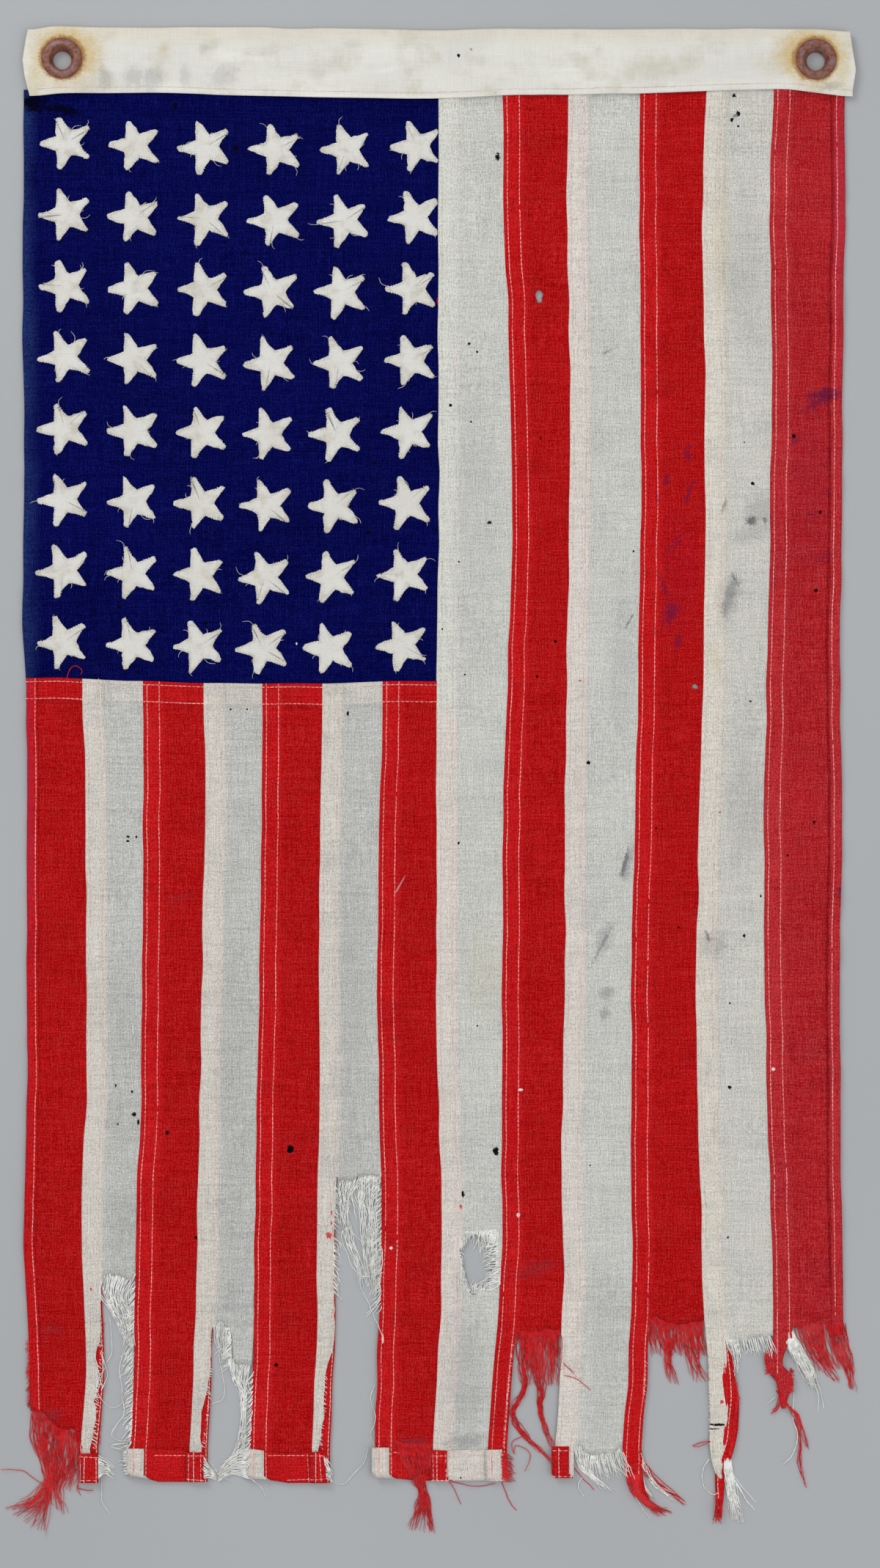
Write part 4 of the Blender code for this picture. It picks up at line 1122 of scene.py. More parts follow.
def make_canton_cloth(material, step):
    """The blue cloth: it goes under the heading, under stripe 8 and under the short stripes."""
    rows = np.linspace(1.0, 0.0, int(286 / step) + 1)
    columns = np.linspace(0.0, 1.0, int(206 / step) + 1)
    columns = np.sort(np.concatenate((columns, (0.0012, 0.9988))))
    points = np.zeros((len(rows), len(columns), 2, 3))
    for index, share in enumerate(columns):
        y = np.linspace(LONG_TOP, 20.0, len(rows))
        for _ in range(3):
            start = CANTON_LEFT(y) + 0.2
            x = start + share * (SEAMS[FIRST_LONG](y) + ALLOWANCE - start)
            high = HEADING_LOWER(x) + TUCK
            low = CANTON_FOOT(x) - BAND
            y = low + rows * (high - low)
        raised = over_back(x, y)
        points[:, index] = pairs(x, y, raised, CLOTH + raised)
    cells = np.ones((len(rows) - 1, len(columns) - 1), bool)
    area = flat_area(points[:, :, 1, :2], cells)
    points[..., 2] += ground(points[..., 1, 0], points[..., 1, 1])[..., None]
    piece = closed_sheet("canton_cloth", points[:, :, 0], points[:, :, 1], cells, material)
    return piece, area


# ---------------------------------------------------------------- stage

FLOOR_HALF = 1600.0              # half the width of the floor


def make_floor(colour):
    """A faintly clouded floor that the cloth lies on."""
    material, s, finish = new_material("floor", 0.9)
    cloudy = s.stretch(s.noise(s.place(), 3.0, 3.0), 0.3, 0.7, kind="LINEAR")
    darker = tuple(value * 0.94 for value in colour)
    s.put(finish["Base Color"], s.mix(cloudy, colour, darker))
    corners = [(x * FLOOR_HALF, y * FLOOR_HALF, -0.2) for x, y in ((-1, -1), (1, -1), (1, 1), (-1, 1))]
    floor = new_piece("floor", corners, [(0, 1, 2, 3)], material, smooth=False)


def add_light(name, watts, size, place):
    """A square light that is aimed at the origin."""
    lamp = bpy.data.lights.new(name, "AREA")
    lamp.energy = watts
    lamp.size = size
    lamp.color = (1.0, 0.985, 0.965)
    light = bpy.data.objects.new(name, lamp)
    light.location = place
    x, y, z = place
    light.rotation_euler = (math.atan2(math.hypot(x, y), z), 0.0, math.atan2(x, -y))
    bpy.context.scene.collection.objects.link(light)


def make_stage(floor_colour, key_watts, fill_watts):
    """The floor, three lights, the room's light and the camera."""
    make_floor(floor_colour)
    add_light("key", key_watts, 0.9, (-1.1, 1.35, 1.25))
    add_light("fill", fill_watts, 2.4, (0.5, -0.2, 2.3))
    add_light("low fill", fill_watts * 0.35, 1.6, (1.5, -0.9, 1.1))
    scene = bpy.context.scene
    scene.world = bpy.data.worlds.new("soft room")
    scene.world.use_nodes = True
    background = scene.world.node_tree.nodes["Background"].inputs
    background["Color"].default_value = (0.92, 0.95, 1.0, 1.0)
    background["Strength"].default_value = 0.55
    scene.view_settings.view_transform = "Standard"
    lens = bpy.data.cameras.new("camera")
    lens.lens = 85.0
    lens.sensor_width = 36.0
    scene.camera = bpy.data.objects.new("camera", lens)
    scene.camera.location = (0.00286, -0.0143, 1.803)
    scene.collection.objects.link(scene.camera)


# ---------------------------------------------------------------- stars

STAR_ROWS = 8
STAR_PITCH = 34.7                # from one row of stars to the next
STAR_TOP = 297.5                 # the first row's centre line
STAR_REACH = 13.2
STAR_WAIST = 0.475
STAR_COLUMNS = (
    # x in the first row, x in the last row, how far the column hangs below the others
    (-179.0, -180.5, 0.0), (-145.5, -146.8, 1.2), (-111.0, -114.3, 1.9),
    (-76.8, -83.2, 3.0), (-42.5, -51.1, 3.0), (-8.4, -15.4, 1.6),
)
STARS = [(row, column) for row in range(STAR_ROWS) for column in range(len(STAR_COLUMNS))]


def star_centre(row, column):
    """Middle of one star; the columns lean a little and sag."""
    first, last, sag = STAR_COLUMNS[column]
    return first + (last - first) * row / (STAR_ROWS - 1), STAR_TOP - STAR_PITCH * row - sag


def star_outline(row, column):
    """The cut edge of one star, never quite the same twice; one point looks to the left."""
    rng = np.random.default_rng(300 + 10 * row + column)
    turn = math.pi + rng.uniform(-0.05, 0.05)
    points = []
    for arm in range(5):
        angle = turn + arm * 2 * math.pi / 5 + rng.uniform(-0.04, 0.04)
        reach = STAR_REACH * rng.uniform(0.94, 1.05)
        blunt = rng.uniform(0.75, 1.35)
        lean = rng.uniform(-0.5, 0.5)
        bow = rng.uniform(-0.55, 0.25, 2)
        before = angle - math.pi / 5
        after = angle + math.pi / 5
        tip = np.array((math.cos(angle), math.sin(angle))) * reach
        side = np.array((-math.sin(angle), math.cos(angle)))
        waist = STAR_REACH * STAR_WAIST
        start = np.array((math.cos(before), math.sin(before))) * waist
        end = np.array((math.cos(after), math.sin(after))) * waist
        shoulder_low, shoulder_high = tip - side * blunt, tip + side * blunt
        for share in (0.0, 0.22, 0.45, 0.68, 0.88):
            out = -side * bow[0] * math.sin(share * math.pi)
            points.append(start + (shoulder_low - start) * share + out)
        points.append(shoulder_low * 0.985)
        points.append(tip * 1.02 + side * lean)
        points.append(shoulder_high * 0.985)
        for share in (0.12, 0.32, 0.55, 0.78):
            out = side * bow[1] * math.sin(share * math.pi)
            points.append(shoulder_high + (end - shoulder_high) * share + out)
    points = np.array(points)
    points += rng.normal(0, 0.16, points.shape)
    centre_x, centre_y = star_centre(row, column)
    return points + (centre_x, centre_y)


def tucked(points):
    """Draws in what would lie under the lap of stripe 8."""
    limit = SEAMS[FIRST_LONG](points[..., 1]) - 0.25
    over = points[..., 0] > limit
    points[..., 0] = np.where(over, limit + (points[..., 0] - limit) * 0.03, points[..., 0])
    return points


# Section of a star, from its underside round its edge and up to its middle.
STAR_RINGS = (
    # share of the outline, height over the canton's upper face, painted shade and grey dirt at the rim
    (0.985, 0.04, 1.0), (1.0, 0.20, 1.0), (0.985, 0.38, 0.9), (0.93, 0.52, 0.55), (0.85, 0.50, 0.65),
    (0.76, 0.60, 0.15), (0.52, 0.66, 0.0), (0.26, 0.66, 0.0),
)


def make_star(row, column, material):
    """One star, puffed a little between its sewn edges, and the flat size that it was cut to."""
    outline = star_outline(row, column)
    centre = np.array(star_centre(row, column))
    count = len(outline)
    points, wear = [], []
    # worn is how much painted shade and grey dirt the material lays on this ring, by the rim layer
    for share, height, worn in STAR_RINGS:
        plan = tucked(centre + (outline - centre) * share)
        z = CLOTH + height + 0.10 * soft_noise(plan[:, 0], plan[:, 1], 3, 3, row * 7 + column)
        points.append(np.column_stack((plan, np.maximum(z, CLOTH + 0.03))))
        wear.append(np.full(count, worn))
    points.append([(*centre, CLOTH + 0.62), (*centre, CLOTH + 0.04)])
    points = np.concatenate(points)
    points[:, 2] += ground(points[:, 0], points[:, 1])
    faces = ring_faces(len(STAR_RINGS), count)
    top = len(STAR_RINGS) * count
    inmost = top - count
    for step in range(count):
        after = (step + 1) % count
        faces += [(inmost + step, inmost + after, top), (after, step, top + 1)]
    piece = new_piece(f"star_{row + 1}_{column + 1}", points, faces, material)
    add_layer(piece, "rim", np.concatenate((*wear, (0.0, 1.0))))
    flat = tucked(outline.copy())
    across = np.roll(flat, -1, 0)
    area = abs(np.sum(flat[:, 0] * across[:, 1] - across[:, 0] * flat[:, 1])) / 2 * MM * MM
    return piece, float(area)


# ---------------------------------------------------------------- heading

CANVAS = 0.6                     # thickness of one layer of canvas
HEADING_TOP = 2.55               # upper face of the heading's front layer
GROMMET_LIFT = 1.1               # how much the washer under it lifts the heading
HOLE_RADIUS = 5.5
SIZED_COLUMN = 80                # the column whose length is the heading's cut depth
GROMMET_REACH = 11.0             # how far from a grommet's middle the canvas lies flat on its washer
END_REACH = 22.0                 # how far from an end the columns are drawn to its line
PINCH_REACH = 3.2                # how far from an end the folded canvas is pressed thin
SEAM_READ = 316.0                # where the seams that the heading's edge passes over are read
FOLD_DEPTH = 1.4                 # from the middle of the fold at the top to its outer face


def heading_lift(x, y):
    """How far the washers lift the heading: beyond a grommet, as much as beside it."""
    lift = 0.0
    for inward, (centre_x, centre_y, _) in zip((1, -1), GROMMET_PLACES.values()):
        away = np.hypot(np.maximum(inward * (x - centre_x), 0.0), y - centre_y)
        lift = np.maximum(lift, GROMMET_LIFT * (1 - eased((away - GROMMET_REACH) / 15.0)))
    return lift


def lap_below(x):
    """1 where the heading's lower edge passes over a felled seam, 0 between the seams."""
    inside = 0.0
    for stripe in range(FIRST_LONG, STRIPES + 1):
        start = SEAMS[stripe](SEAM_READ)
        inside = np.maximum(inside, eased((x - start + 4) / 4) * eased((start + 14 - x) / 4))
    return inside


def heading_profile(x, low, high):
    """Both faces of the folded canvas at one place, from the back's lower edge over the top and down."""
    middle = HEADING_TOP / 2
    back = np.linspace(low + 0.9, high - 1.6, 26)
    rows = [(low + 0.5, 0.20, 0.42), (low + 0.6, 0.02, 0.58)]
    rows += [(y, 0.0, CANVAS) for y in back]
    outer, inner = [(y, z) for y, z, _ in rows], [(y, z) for y, _, z in rows]
    for angle in (-60, -30, 0, 30, 60):
        out, up = math.cos(math.radians(angle)), math.sin(math.radians(angle))
        outer.append((high - FOLD_DEPTH + FOLD_DEPTH * out, middle + middle * up))
        inner.append((high - FOLD_DEPTH + 0.75 * out, middle + (middle - CANVAS) * up))
    over = 0.36 * lap_below(x)
    for y in np.linspace(high - 1.6, low + 1.3, 30):
        near = 1 - eased((y - low) / 6.0)
        ridge = 0.10 * math.exp(-((y - low - 4.6) / 1.3) ** 2)
        groove = 0.16 * math.exp(-((y - low - 2.9) / 0.5) ** 2)
        top = HEADING_TOP + over * near + ridge - groove
        outer.append((y, top))
        inner.append((y, top - CANVAS))
    top = HEADING_TOP + over
    outer += [(low + 0.5, top - 0.02), (low + 0.12, top - 0.14), (low, top - 0.34)]
    inner += [(low + 0.5, top - CANVAS), (low + 0.2, top - CANVAS + 0.03), (low + 0.05, top - 0.46)]
    return np.array(outer), np.array(inner)


def heading_columns():
    """Places of the heading's columns, closer together at its ends and round its grommets."""
    left, right = HEADING_SPAN
    columns = list(np.linspace(left, right, 150))
    for centre_x, _, _ in GROMMET_PLACES.values():
        columns = [x for x in columns if abs(x - centre_x) > GROMMET_REACH]
        columns += list(np.arange(centre_x - 10.8, centre_x + 10.9, 1.35))
    return sorted(columns + [left + 0.5, right - 0.5, left + 1.4, right - 1.4])


def heading_points(place, face):
    """One face of the canvas at a column, drawn to the heading's end and pinched where that is near."""
    y, z = face[:, 0], face[:, 1]
    if place < sum(HEADING_SPAN) / 2:
        end, reach = HEADING_LEFT(y), HEADING_SPAN[0]
    else:
        end, reach = HEADING_RIGHT(y), HEADING_SPAN[1]
    x = place + (end - reach) * (1 - eased(abs(place - reach) / END_REACH))
    squeezed = HEADING_TOP * 0.5 + (z - HEADING_TOP * 0.5) * 0.55
    z = z + (squeezed - z) * (1 - eased(abs(place - reach) / PINCH_REACH))
    front = np.clip(z / HEADING_TOP, 0, 1)
    z = z + front * (0.28 * soft_noise(x, y, 34, 11, 21) + 0.09 * soft_noise(x, y, 5.4, 9, 22))
    return np.column_stack((x, y, z + heading_lift(x, y)))


def make_heading_cloth(material):
    """The folded canvas with its two grommet holes, and the flat size that it was cut to."""
    columns = []
    for place in heading_columns():
        profile = heading_profile(place, HEADING_LOWER(place), HEADING_UPPER(place))
        columns.append([heading_points(place, face) for face in profile])
    upper, under = (np.stack(face, 1) for face in zip(*columns))
    cells = np.ones((upper.shape[0] - 1, upper.shape[1] - 1), bool)
    depth = np.linalg.norm(np.diff(upper[:, SIZED_COLUMN], axis=0), axis=1).sum()
    for x, y, _ in GROMMET_PLACES.values():
        away = np.hypot(upper[..., 0] - x, upper[..., 1] - y)
        open_hole(under, upper, cells, x, y, away, HOLE_RADIUS)
    piece = closed_sheet("heading_cloth", under, upper, cells, material)
    return piece, ((HEADING_SPAN[1] - HEADING_SPAN[0]) * MM, float(depth) * MM)


# Rust that has run out of the grommets into the canvas.
RUST = (
    # from a grommet's middle inwards, towards the top, half width, half length, softness, raggedness,
    # colour, cover
    (0.0, 0.0, 15.0, 14.0, 0.45, 0.30, (205, 180, 110), 0.55),
    (4.0, 3.0, 15.0, 10.0, 0.45, 0.30, (196, 160, 70), 0.55),
    (0.4, 0.2, 11.4, 11.0, 0.10, 0.10, (150, 96, 30), 0.85),
)


def canvas_material():
    """Off-white canvas: its weave, grime, yellowing and rust, and a painted highlight along its lower fold.
    """
    groups = shared_groups()
    material, s, finish = new_material("heading canvas", 0.92, sheen=0.1)
    weave = s.group(groups["weave"], Thread_Pitch=0.00052, Fleck=0.30, Streaks=0.55)
    wear = s.group(groups["wear"], Patch_Size=0.045, Contrast=0.6)
    place = s.place()
    colour = s.mix(wear["Fade"], paint(223, 221, 213), paint(213, 211, 204))
    colour = s.lay(colour, paint(190, 184, 164), wear["Soil"], 0.6)
    stretched = s.vector("MULTIPLY", place, (0.3, 1.0, 0.0))
    colour = s.lay(colour, paint(236, 235, 228), s.patches(stretched, 85.0, 0.52, 0.72, 3.0), 0.45)
    y = s.split(place)[1]
    colour = s.lay(colour, paint(208, 196, 164), s.stretch(y, 0.343, 0.353), 0.40)
    for inward, (centre_x, centre_y, _) in zip((1, -1), GROMMET_PLACES.values()):
        for off_x, off_y, half_width, half_length, softness, ragged, tint, cover in RUST:
            oval = mark_mask(s, groups["mark"], centre_x + inward * off_x, centre_y + off_y,
                             half_width, half_length, 0, softness, ragged)
            colour = s.lay(colour, paint(*tint), oval, cover)
    # A painted highlight along the lower folded edge of the heading
    colour = s.lay(colour, paint(238, 232, 216), s.stretch(y, 0.3212, 0.3204), 0.5)
    colour = threads_over(s, colour, weave["Tone"], paint(244, 240, 230), 0.45, paint(150, 142, 122), 0.50)
    s.put(finish["Base Color"], add_marks(s, colour, groups["mark"], "heading"))
    height = s.math("MULTIPLY_ADD", weave["Height"], 0.3, wear["Pucker"])
    s.put(finish["Normal"], s.bump(height, 0.45, 0.0006))
    return material


# ---------------------------------------------------------------- grommets

EYELET_SECTION = (
    # radius, height, share of the throat's offset, wear of the edge
    (5.0, 0.15, 1.0, 0.6), (5.5, 0.05, 1.0, 0.6), (6.4, 0.02, 0.6, 0.8), (6.9, 0.30, 0.4, 1.0),
    (6.4, 0.62, 0.5, 0.8), (5.35, 0.95, 0.9, 0.3), (5.15, 1.6, 1.0, 0.2), (5.15, 3.3, 1.0, 0.2),
    (5.6, 3.62, 0.7, 0.2), (7.0, 3.68, 0.2, 0.2), (8.9, 3.66, 0.0, 0.5), (9.55, 3.64, 0.0, 0.9),
    (9.82, 3.76, 0.0, 1.0), (9.84, 3.98, 0.0, 1.0), (9.62, 4.26, 0.0, 1.0), (9.20, 4.50, 0.0, 0.7),
    (8.60, 4.68, 0.0, 0.25), (7.90, 4.80, 0.0, 0.0), (7.20, 4.86, 0.0, 0.05), (6.70, 4.88, 0.0, 0.35),
    (6.35, 4.80, 0.02, 0.75), (6.05, 4.60, 0.10, 0.80), (5.70, 4.15, 0.25, 0.55), (5.30, 3.50, 0.5, 0.45),
    (4.90, 2.70, 0.75, 0.55), (4.55, 1.80, 0.92, 0.75), (4.40, 1.20, 1.0, 0.9), (4.40, 0.55, 1.0, 0.9),
    (4.60, 0.25, 1.0, 0.8),
)
THROAT_LEAN = -0.6               # how far the throat lies from the flange's middle, along Y


def make_eyelet(side, material, segments):
    """One pressed eyelet: a worn domed flange round a funnel that leans towards the fly."""
    centre_x, centre_y, _ = GROMMET_PLACES[side]
    seed = 31 if side == "left" else 32
    turn = np.arange(segments) * 2 * math.pi / segments
    points, rims = [], []
    for radius, height, share, wear in EYELET_SECTION:
        wobble = radius * (1 + 0.004 * np.sin(3 * turn + seed) + 0.003 * np.sin(7 * turn))
        x = centre_x + wobble * np.cos(turn)
        y = centre_y + THROAT_LEAN * share + wobble * np.sin(turn)
        dents = 0.05 * soft_noise(x, y, 2.4, 2.4, seed) * (height > 4.0)
        points.append(np.column_stack((x, y, height + dents)))
        rims.append(np.full(segments, wear))
    faces = ring_faces(len(EYELET_SECTION), segments, closed=True)
    piece = new_piece(f"eyelet_{side}_turned", np.concatenate(points), faces, material)
    add_layer(piece, "rim", np.concatenate(rims))
    return piece


def brass_material(name, seed, worn_edges):
    """Dull brass gone purplish brown, with rust on its edges and a little green in its pits."""
    material, s, finish = new_material(name, 0.55, metallic=0.55, specular=0.5)
    place = s.vector("ADD", s.place(), (seed, 0.0, 0.0))
    mottled = s.patches(place, 420.0, 0.35, 0.68, 4.0, 0.65)
    colour = s.mix(mottled, paint(136, 96, 88), paint(96, 62, 58))
    colour = s.lay(colour, paint(126, 118, 130), s.patches(place, 230.0, 0.50, 0.64, 4.0, 0.6), 0.65)
    colour = s.lay(colour, paint(166, 136, 130), s.patches(place, 1500.0, 0.55, 0.75, 3.0, 0.7), 0.6)
    rust = s.patches(place, 650.0, 0.45, 0.62, 4.0, 0.7)
    if worn_edges:
        rust = s.math("MULTIPLY", s.math("ADD", rust, 0.62), s.read("rim"), clamp=True)
    else:
        rust = s.math("MULTIPLY", rust, 0.8)
    colour = s.mix(rust, colour, s.mix(mottled, paint(150, 84, 42), paint(104, 54, 28)))
    colour = s.lay(colour, paint(112, 128, 108), s.patches(place, 300.0, 0.60, 0.70, 3.0, 0.6), 0.35)
    s.put(finish["Base Color"], colour)
    s.put(finish["Roughness"], s.stretch(rust, 0.0, 1.0, 0.42, 0.85, kind="LINEAR"))
    s.put(finish["Metallic"], s.stretch(rust, 0.0, 1.0, 0.65, 0.1, kind="LINEAR"))
    s.put(finish["Normal"], s.bump(s.noise(place, 900.0, 4.0, 0.65), 0.5, 0.0004))
    return material


# The one star that is worn through: x, y, half width, half length, turn, softness, raggedness.
WORN_STAR = (-175.7, 169.6, 6.8, 3.4, 0, 0.35, 0.5)


def cotton_material():
    """Soft unbleached cotton of the stars, yellowed in places, greyed at the edges by dirt and painted shade,
    with one star worn through.
    """
    groups = shared_groups()
    material, s, finish = new_material("star cotton", 0.95, sheen=0.15)
    weave = s.group(groups["weave"], Thread_Pitch=0.00050, Fleck=0.34, Streaks=0.50)
    wear = s.group(groups["wear"], Patch_Size=0.018, Contrast=0.8)
    colour = s.mix(wear["Fade"], paint(240, 239, 234), paint(230, 226, 216))
    colour = s.lay(colour, paint(196, 186, 164), wear["Soil"], 0.55)
    colour = threads_over(s, colour, weave["Tone"], paint(244, 243, 240), 0.35, paint(176, 168, 156), 0.40)
    # Painted shade and grey dirt along the sewn edges of each star, where the rim layer is high
    grey = s.patches(s.place(), 380.0, 0.36, 0.66, 3.0, 0.6)
    colour = s.lay(colour, paint(170, 166, 152), s.math("MULTIPLY_ADD", grey, 0.75, 0.15), s.read("rim"))
    colour = s.lay(colour, paint(84, 88, 104), mark_mask(s, groups["mark"], *WORN_STAR), 0.75)
    s.put(finish["Base Color"], colour)
    height = s.math("MULTIPLY_ADD", weave["Height"], 0.3, wear["Pucker"])
    s.put(finish["Normal"], s.bump(height, 0.8, 0.0010))
    return material


# ---------------------------------------------------------------- node trees for sewing and yarn


def random_value(s, low, high, seed):
    """A random number for each place, the same for the same seed."""
    return s.node("FunctionNodeRandomValue", None, None, low, high, *[None] * 4, seed).outputs[1]


def finish_maker(s, made, material, result):
    """Makes what a tree has put out real, smooth and of one material."""
    made = s.node("GeometryNodeRealizeInstances", made).outputs[0]
    made = s.node("GeometryNodeSetShadeSmooth", made).outputs[0]
    s.put(result[0], s.node("GeometryNodeSetMaterial", made, None, material).outputs[0])


def stitch_tree():
    """A row of stitches along each path: small rounded dashes, or bars that cross the path."""
    tree, s, given, result = new_tree(
        "Geometry", "stitches",
        (("Geometry", "Geometry", None), ("Pitch", "Float", 0.0023), ("Stitch Length", "Float", 0.0021),
         ("Stitch Width", "Float", 0.0005), ("Crosswise", "Float", 0.0), ("Kept", "Float", 0.97),
         ("Seed", "Int", 1), ("Thread", "Material", None)),
        (("Geometry", "Geometry"),))
    seed, width = given["Seed"], given["Stitch Width"]
    path = s.node("GeometryNodeMeshToCurve", given["Geometry"]).outputs[0]
    places = s.node("GeometryNodeCurveToPoints", path, None, given["Pitch"], mode="LENGTH").outputs
    bead = s.node("GeometryNodeMeshIcoSphere", 0.5, 1).outputs["Mesh"]
    along = s.node("FunctionNodeAlignRotationToVector", None, None, places["Tangent"], axis="X").outputs[0]
    slant = s.math("ADD", random_value(s, -0.12, 0.12, seed), given["Crosswise"])
    angles = s.node("ShaderNodeCombineXYZ", None, None, slant).outputs[0]
    angle = s.node("FunctionNodeEulerToRotation", angles).outputs[0]
    turned = s.node("FunctionNodeRotateRotation", along, angle, rotation_space="LOCAL").outputs[0]
    length = s.math("MULTIPLY", random_value(s, 0.80, 1.12, seed), given["Stitch Length"])
    size = s.node("ShaderNodeCombineXYZ", length, width, width).outputs[0]
    kept = s.node("FunctionNodeRandomValue", *[None] * 6, given["Kept"], None, seed,
                  data_type="BOOLEAN").outputs[3]
    stitches = s.node("GeometryNodeInstanceOnPoints", places["Points"], kept, bead, None, None, turned,
                      size).outputs[0]
    finish_maker(s, stitches, given["Thread"], result)
    return tree


def yarn_tree():
    """A round yarn along each path, as thick as the path's own thickness says."""
    tree, s, given, result = new_tree(
        "Geometry", "yarn",
        (("Geometry", "Geometry", None), ("Yarn Radius", "Float", 0.0002), ("Sides", "Int", 3),
         ("Yarn", "Material", None)),
        (("Geometry", "Geometry"),))
    path = s.node("GeometryNodeMeshToCurve", given["Geometry"]).outputs[0]
    own = s.node("GeometryNodeInputNamedAttribute", "thickness").outputs["Attribute"]
    thick = s.math("MULTIPLY", own, given["Yarn Radius"])
    ring = s.node("GeometryNodeCurvePrimitiveCircle", given["Sides"], None, None, None, 1.0).outputs["Curve"]
    tube = s.node("GeometryNodeCurveToMesh", path, ring, thick, True).outputs[0]
    finish_maker(s, tube, given["Yarn"], result)
    return tree


def grow(name, paths, tree, **settings):
    """Runs a tree over some paths and keeps the plain mesh that it makes."""
    points, edges, thickness = [], [], []
    for path in paths:
        start = len(points)
        points += path[:, :3].tolist()
        thickness += path[:, 3].tolist()
        edges += [(start + step, start + step + 1) for step in range(len(path) - 1)]
    data = bpy.data.meshes.new(name)
    data.from_pydata((np.array(points) * MM).tolist(), edges, [])
    piece = bpy.data.objects.new(name, data)
    add_layer(piece, "thickness", thickness)
    bpy.context.scene.collection.objects.link(piece)
    maker = piece.modifiers.new("maker", "NODES")
    maker.node_group = tree
    for item in tree.interface.items_tree:
        key = item.name.lower().replace(" ", "_")
        if item.in_out == "INPUT" and key in settings:
            maker[item.identifier] = settings[key]
    ready = piece.evaluated_get(bpy.context.evaluated_depsgraph_get())
    plain = bpy.data.meshes.new_from_object(ready)
    piece.modifiers.clear()
    piece.data = plain
    bpy.data.meshes.remove(data)
    plain.name = name
    if not plain.polygons:
        raise RuntimeError(f"{name} came out empty")
    return piece


class Surface:
    """The upper face of the cloth that has been made, as heights in millimetres."""

    def __init__(self, pieces):
        points, faces = [], []
        for piece in pieces:
            start = len(points)
            points += points_of(piece.data).tolist()
            faces += [[start + corner for corner in face.vertices] for face in piece.data.polygons]
        self.tree = BVHTree.FromPolygons(points, faces)

    def at(self, x, y):
        """Heights at some places, with 0 where there is no cloth."""
        heights = []
        for place_x, place_y in zip(np.ravel(x), np.ravel(y)):
            hit = self.tree.ray_cast((float(place_x), float(place_y), 40.0), (0.0, 0.0, -1.0))[0]
            heights.append(hit.z if hit is not None else 0.0)
        return np.array(heights)


# ---------------------------------------------------------------- sewing

SEAM_ENDS = {
    # stripe: where its rows of stitches stop at the fly, front row and back row
    2: (-353.5, -353.5), 3: (-353.0, -353.0), 4: (-353.0, -353.0), 5: (-351.0, -351.0),
    6: (-353.0, -353.0), 7: (-351.0, -351.0), 8: (-352.5, -352.5), 9: (-352.0, -352.0),
    10: (-351.0, -351.0), 11: (-350.0, -349.0), 12: (-336.0, -300.0), 13: (-300.0, -288.0),
}
HEM_ROWS_ON_RED = (
    # points of each row over the turned hem at the fly
    ((-171.5, -341.5), (-163, -342)), ((-171, -353), (-163.5, -353)),
    ((-135, -341), (-125, -341), (-113, -341)), ((-119.5, -352.5), (-113, -353)),
    ((-119.5, -341), (-119.5, -352.5)), ((-113.5, -341), (-113.5, -353)),
    ((-80, -341), (-62, -341), (-55, -341)), ((-70.5, -353), (-55, -352.5)), ((-61.5, -341), (-61, -352.5)),
    ((-55.5, -341), (-55, -352.5)), ((-19, -339.5), (-8, -341), (6, -341)), ((-0.5, -353), (6, -353)),
    ((-0.5, -341), (-0.5, -353)), ((5.5, -341), (6, -353)), ((58.5, -338.5), (68, -338.5)),
    ((58.5, -351), (68, -351)),
)
HEM_ROWS_ON_WHITE = (
    ((-150, -340), (-142, -340)), ((-94, -340), (-86, -340)), ((-31, -340), (-22, -340)),
    ((7, -341), (33, -340.5)), ((8, -352.5), (33, -353)),
)
BAND_ROWS = (1.8, 10.0)          # rows that hold the short stripes' tops, from the canton's foot
STRIPE_12_TAIL_ROW = ((142.5, -288), (144, -302), (144.5, -314), (143.5, -324), (142.5, -334), (139, -345),
                      (138, -354), (138.5, -366))


# Bars of thread that cross the edges of the stars.
STAR_SEWING = {"pitch": 0.0013, "stitch_length": 0.0016, "stitch_width": 0.0004,
               "crosswise": math.pi / 2, "kept": 0.95, "seed": 5}


def curve_through(corners, step):
    """A smooth line through some places, as points a set distance apart."""
    corners = np.array(corners, float)
    if len(corners) > 2:
        before = 2 * corners[0] - corners[1]
        after = 2 * corners[-1] - corners[-2]
        padded = np.vstack((before, corners, after))
        share = np.linspace(0, 1, 9)[:-1, None]
        parts = []
        for index in range(len(corners) - 1):
            a, b, c, d = padded[index:index + 4]
            parts.append(0.5 * (2 * b + (c - a) * share + (2 * a - 5 * b + 4 * c - d) * share ** 2
                                + (3 * b - a - 3 * c + d) * share ** 3))
        corners = np.vstack((*parts, corners[-1:]))
    along = np.concatenate(([0.0], np.cumsum(np.linalg.norm(np.diff(corners, axis=0), axis=1))))
    count = max(int(along[-1] / step), 2) + 1
    places = np.linspace(0, along[-1], count)
    return np.stack([np.interp(places, along, corners[:, axis]) for axis in range(corners.shape[1])], 1)


def sewn_row(surface, corners, sway=0.12, seed=0):
    """A row's path on top of the cloth, left out where the cloth is gone."""
    path = curve_through(corners, STITCH_STEP)
    path[:, 0] += sway * soft_noise(path[:, 1], path[:, 0], 9, 9, seed)
    z = surface.at(path[:, 0], path[:, 1])
    ahead = np.concatenate((z[:1], z[:-1]))
    after = np.concatenate((z[1:], z[-1:]))
    on_cloth = (z > 0.15).astype(int)
    z = np.median(np.stack((ahead, z, after)), axis=0) + 0.04
    row = np.column_stack((path, z, np.ones(len(path))))
    parts = np.split(np.arange(len(row)), np.flatnonzero(np.diff(on_cloth)) + 1)
    return [row[part] for part in parts if on_cloth[part[0]] and len(part) > 2]


def seam_corners(course, offset, top, bottom):
    """Corners of a row beside an edge, from its top down to the fly."""
    y = np.append(np.arange(top, bottom, -6.0), bottom)
    return np.column_stack((course(y) + offset, y))


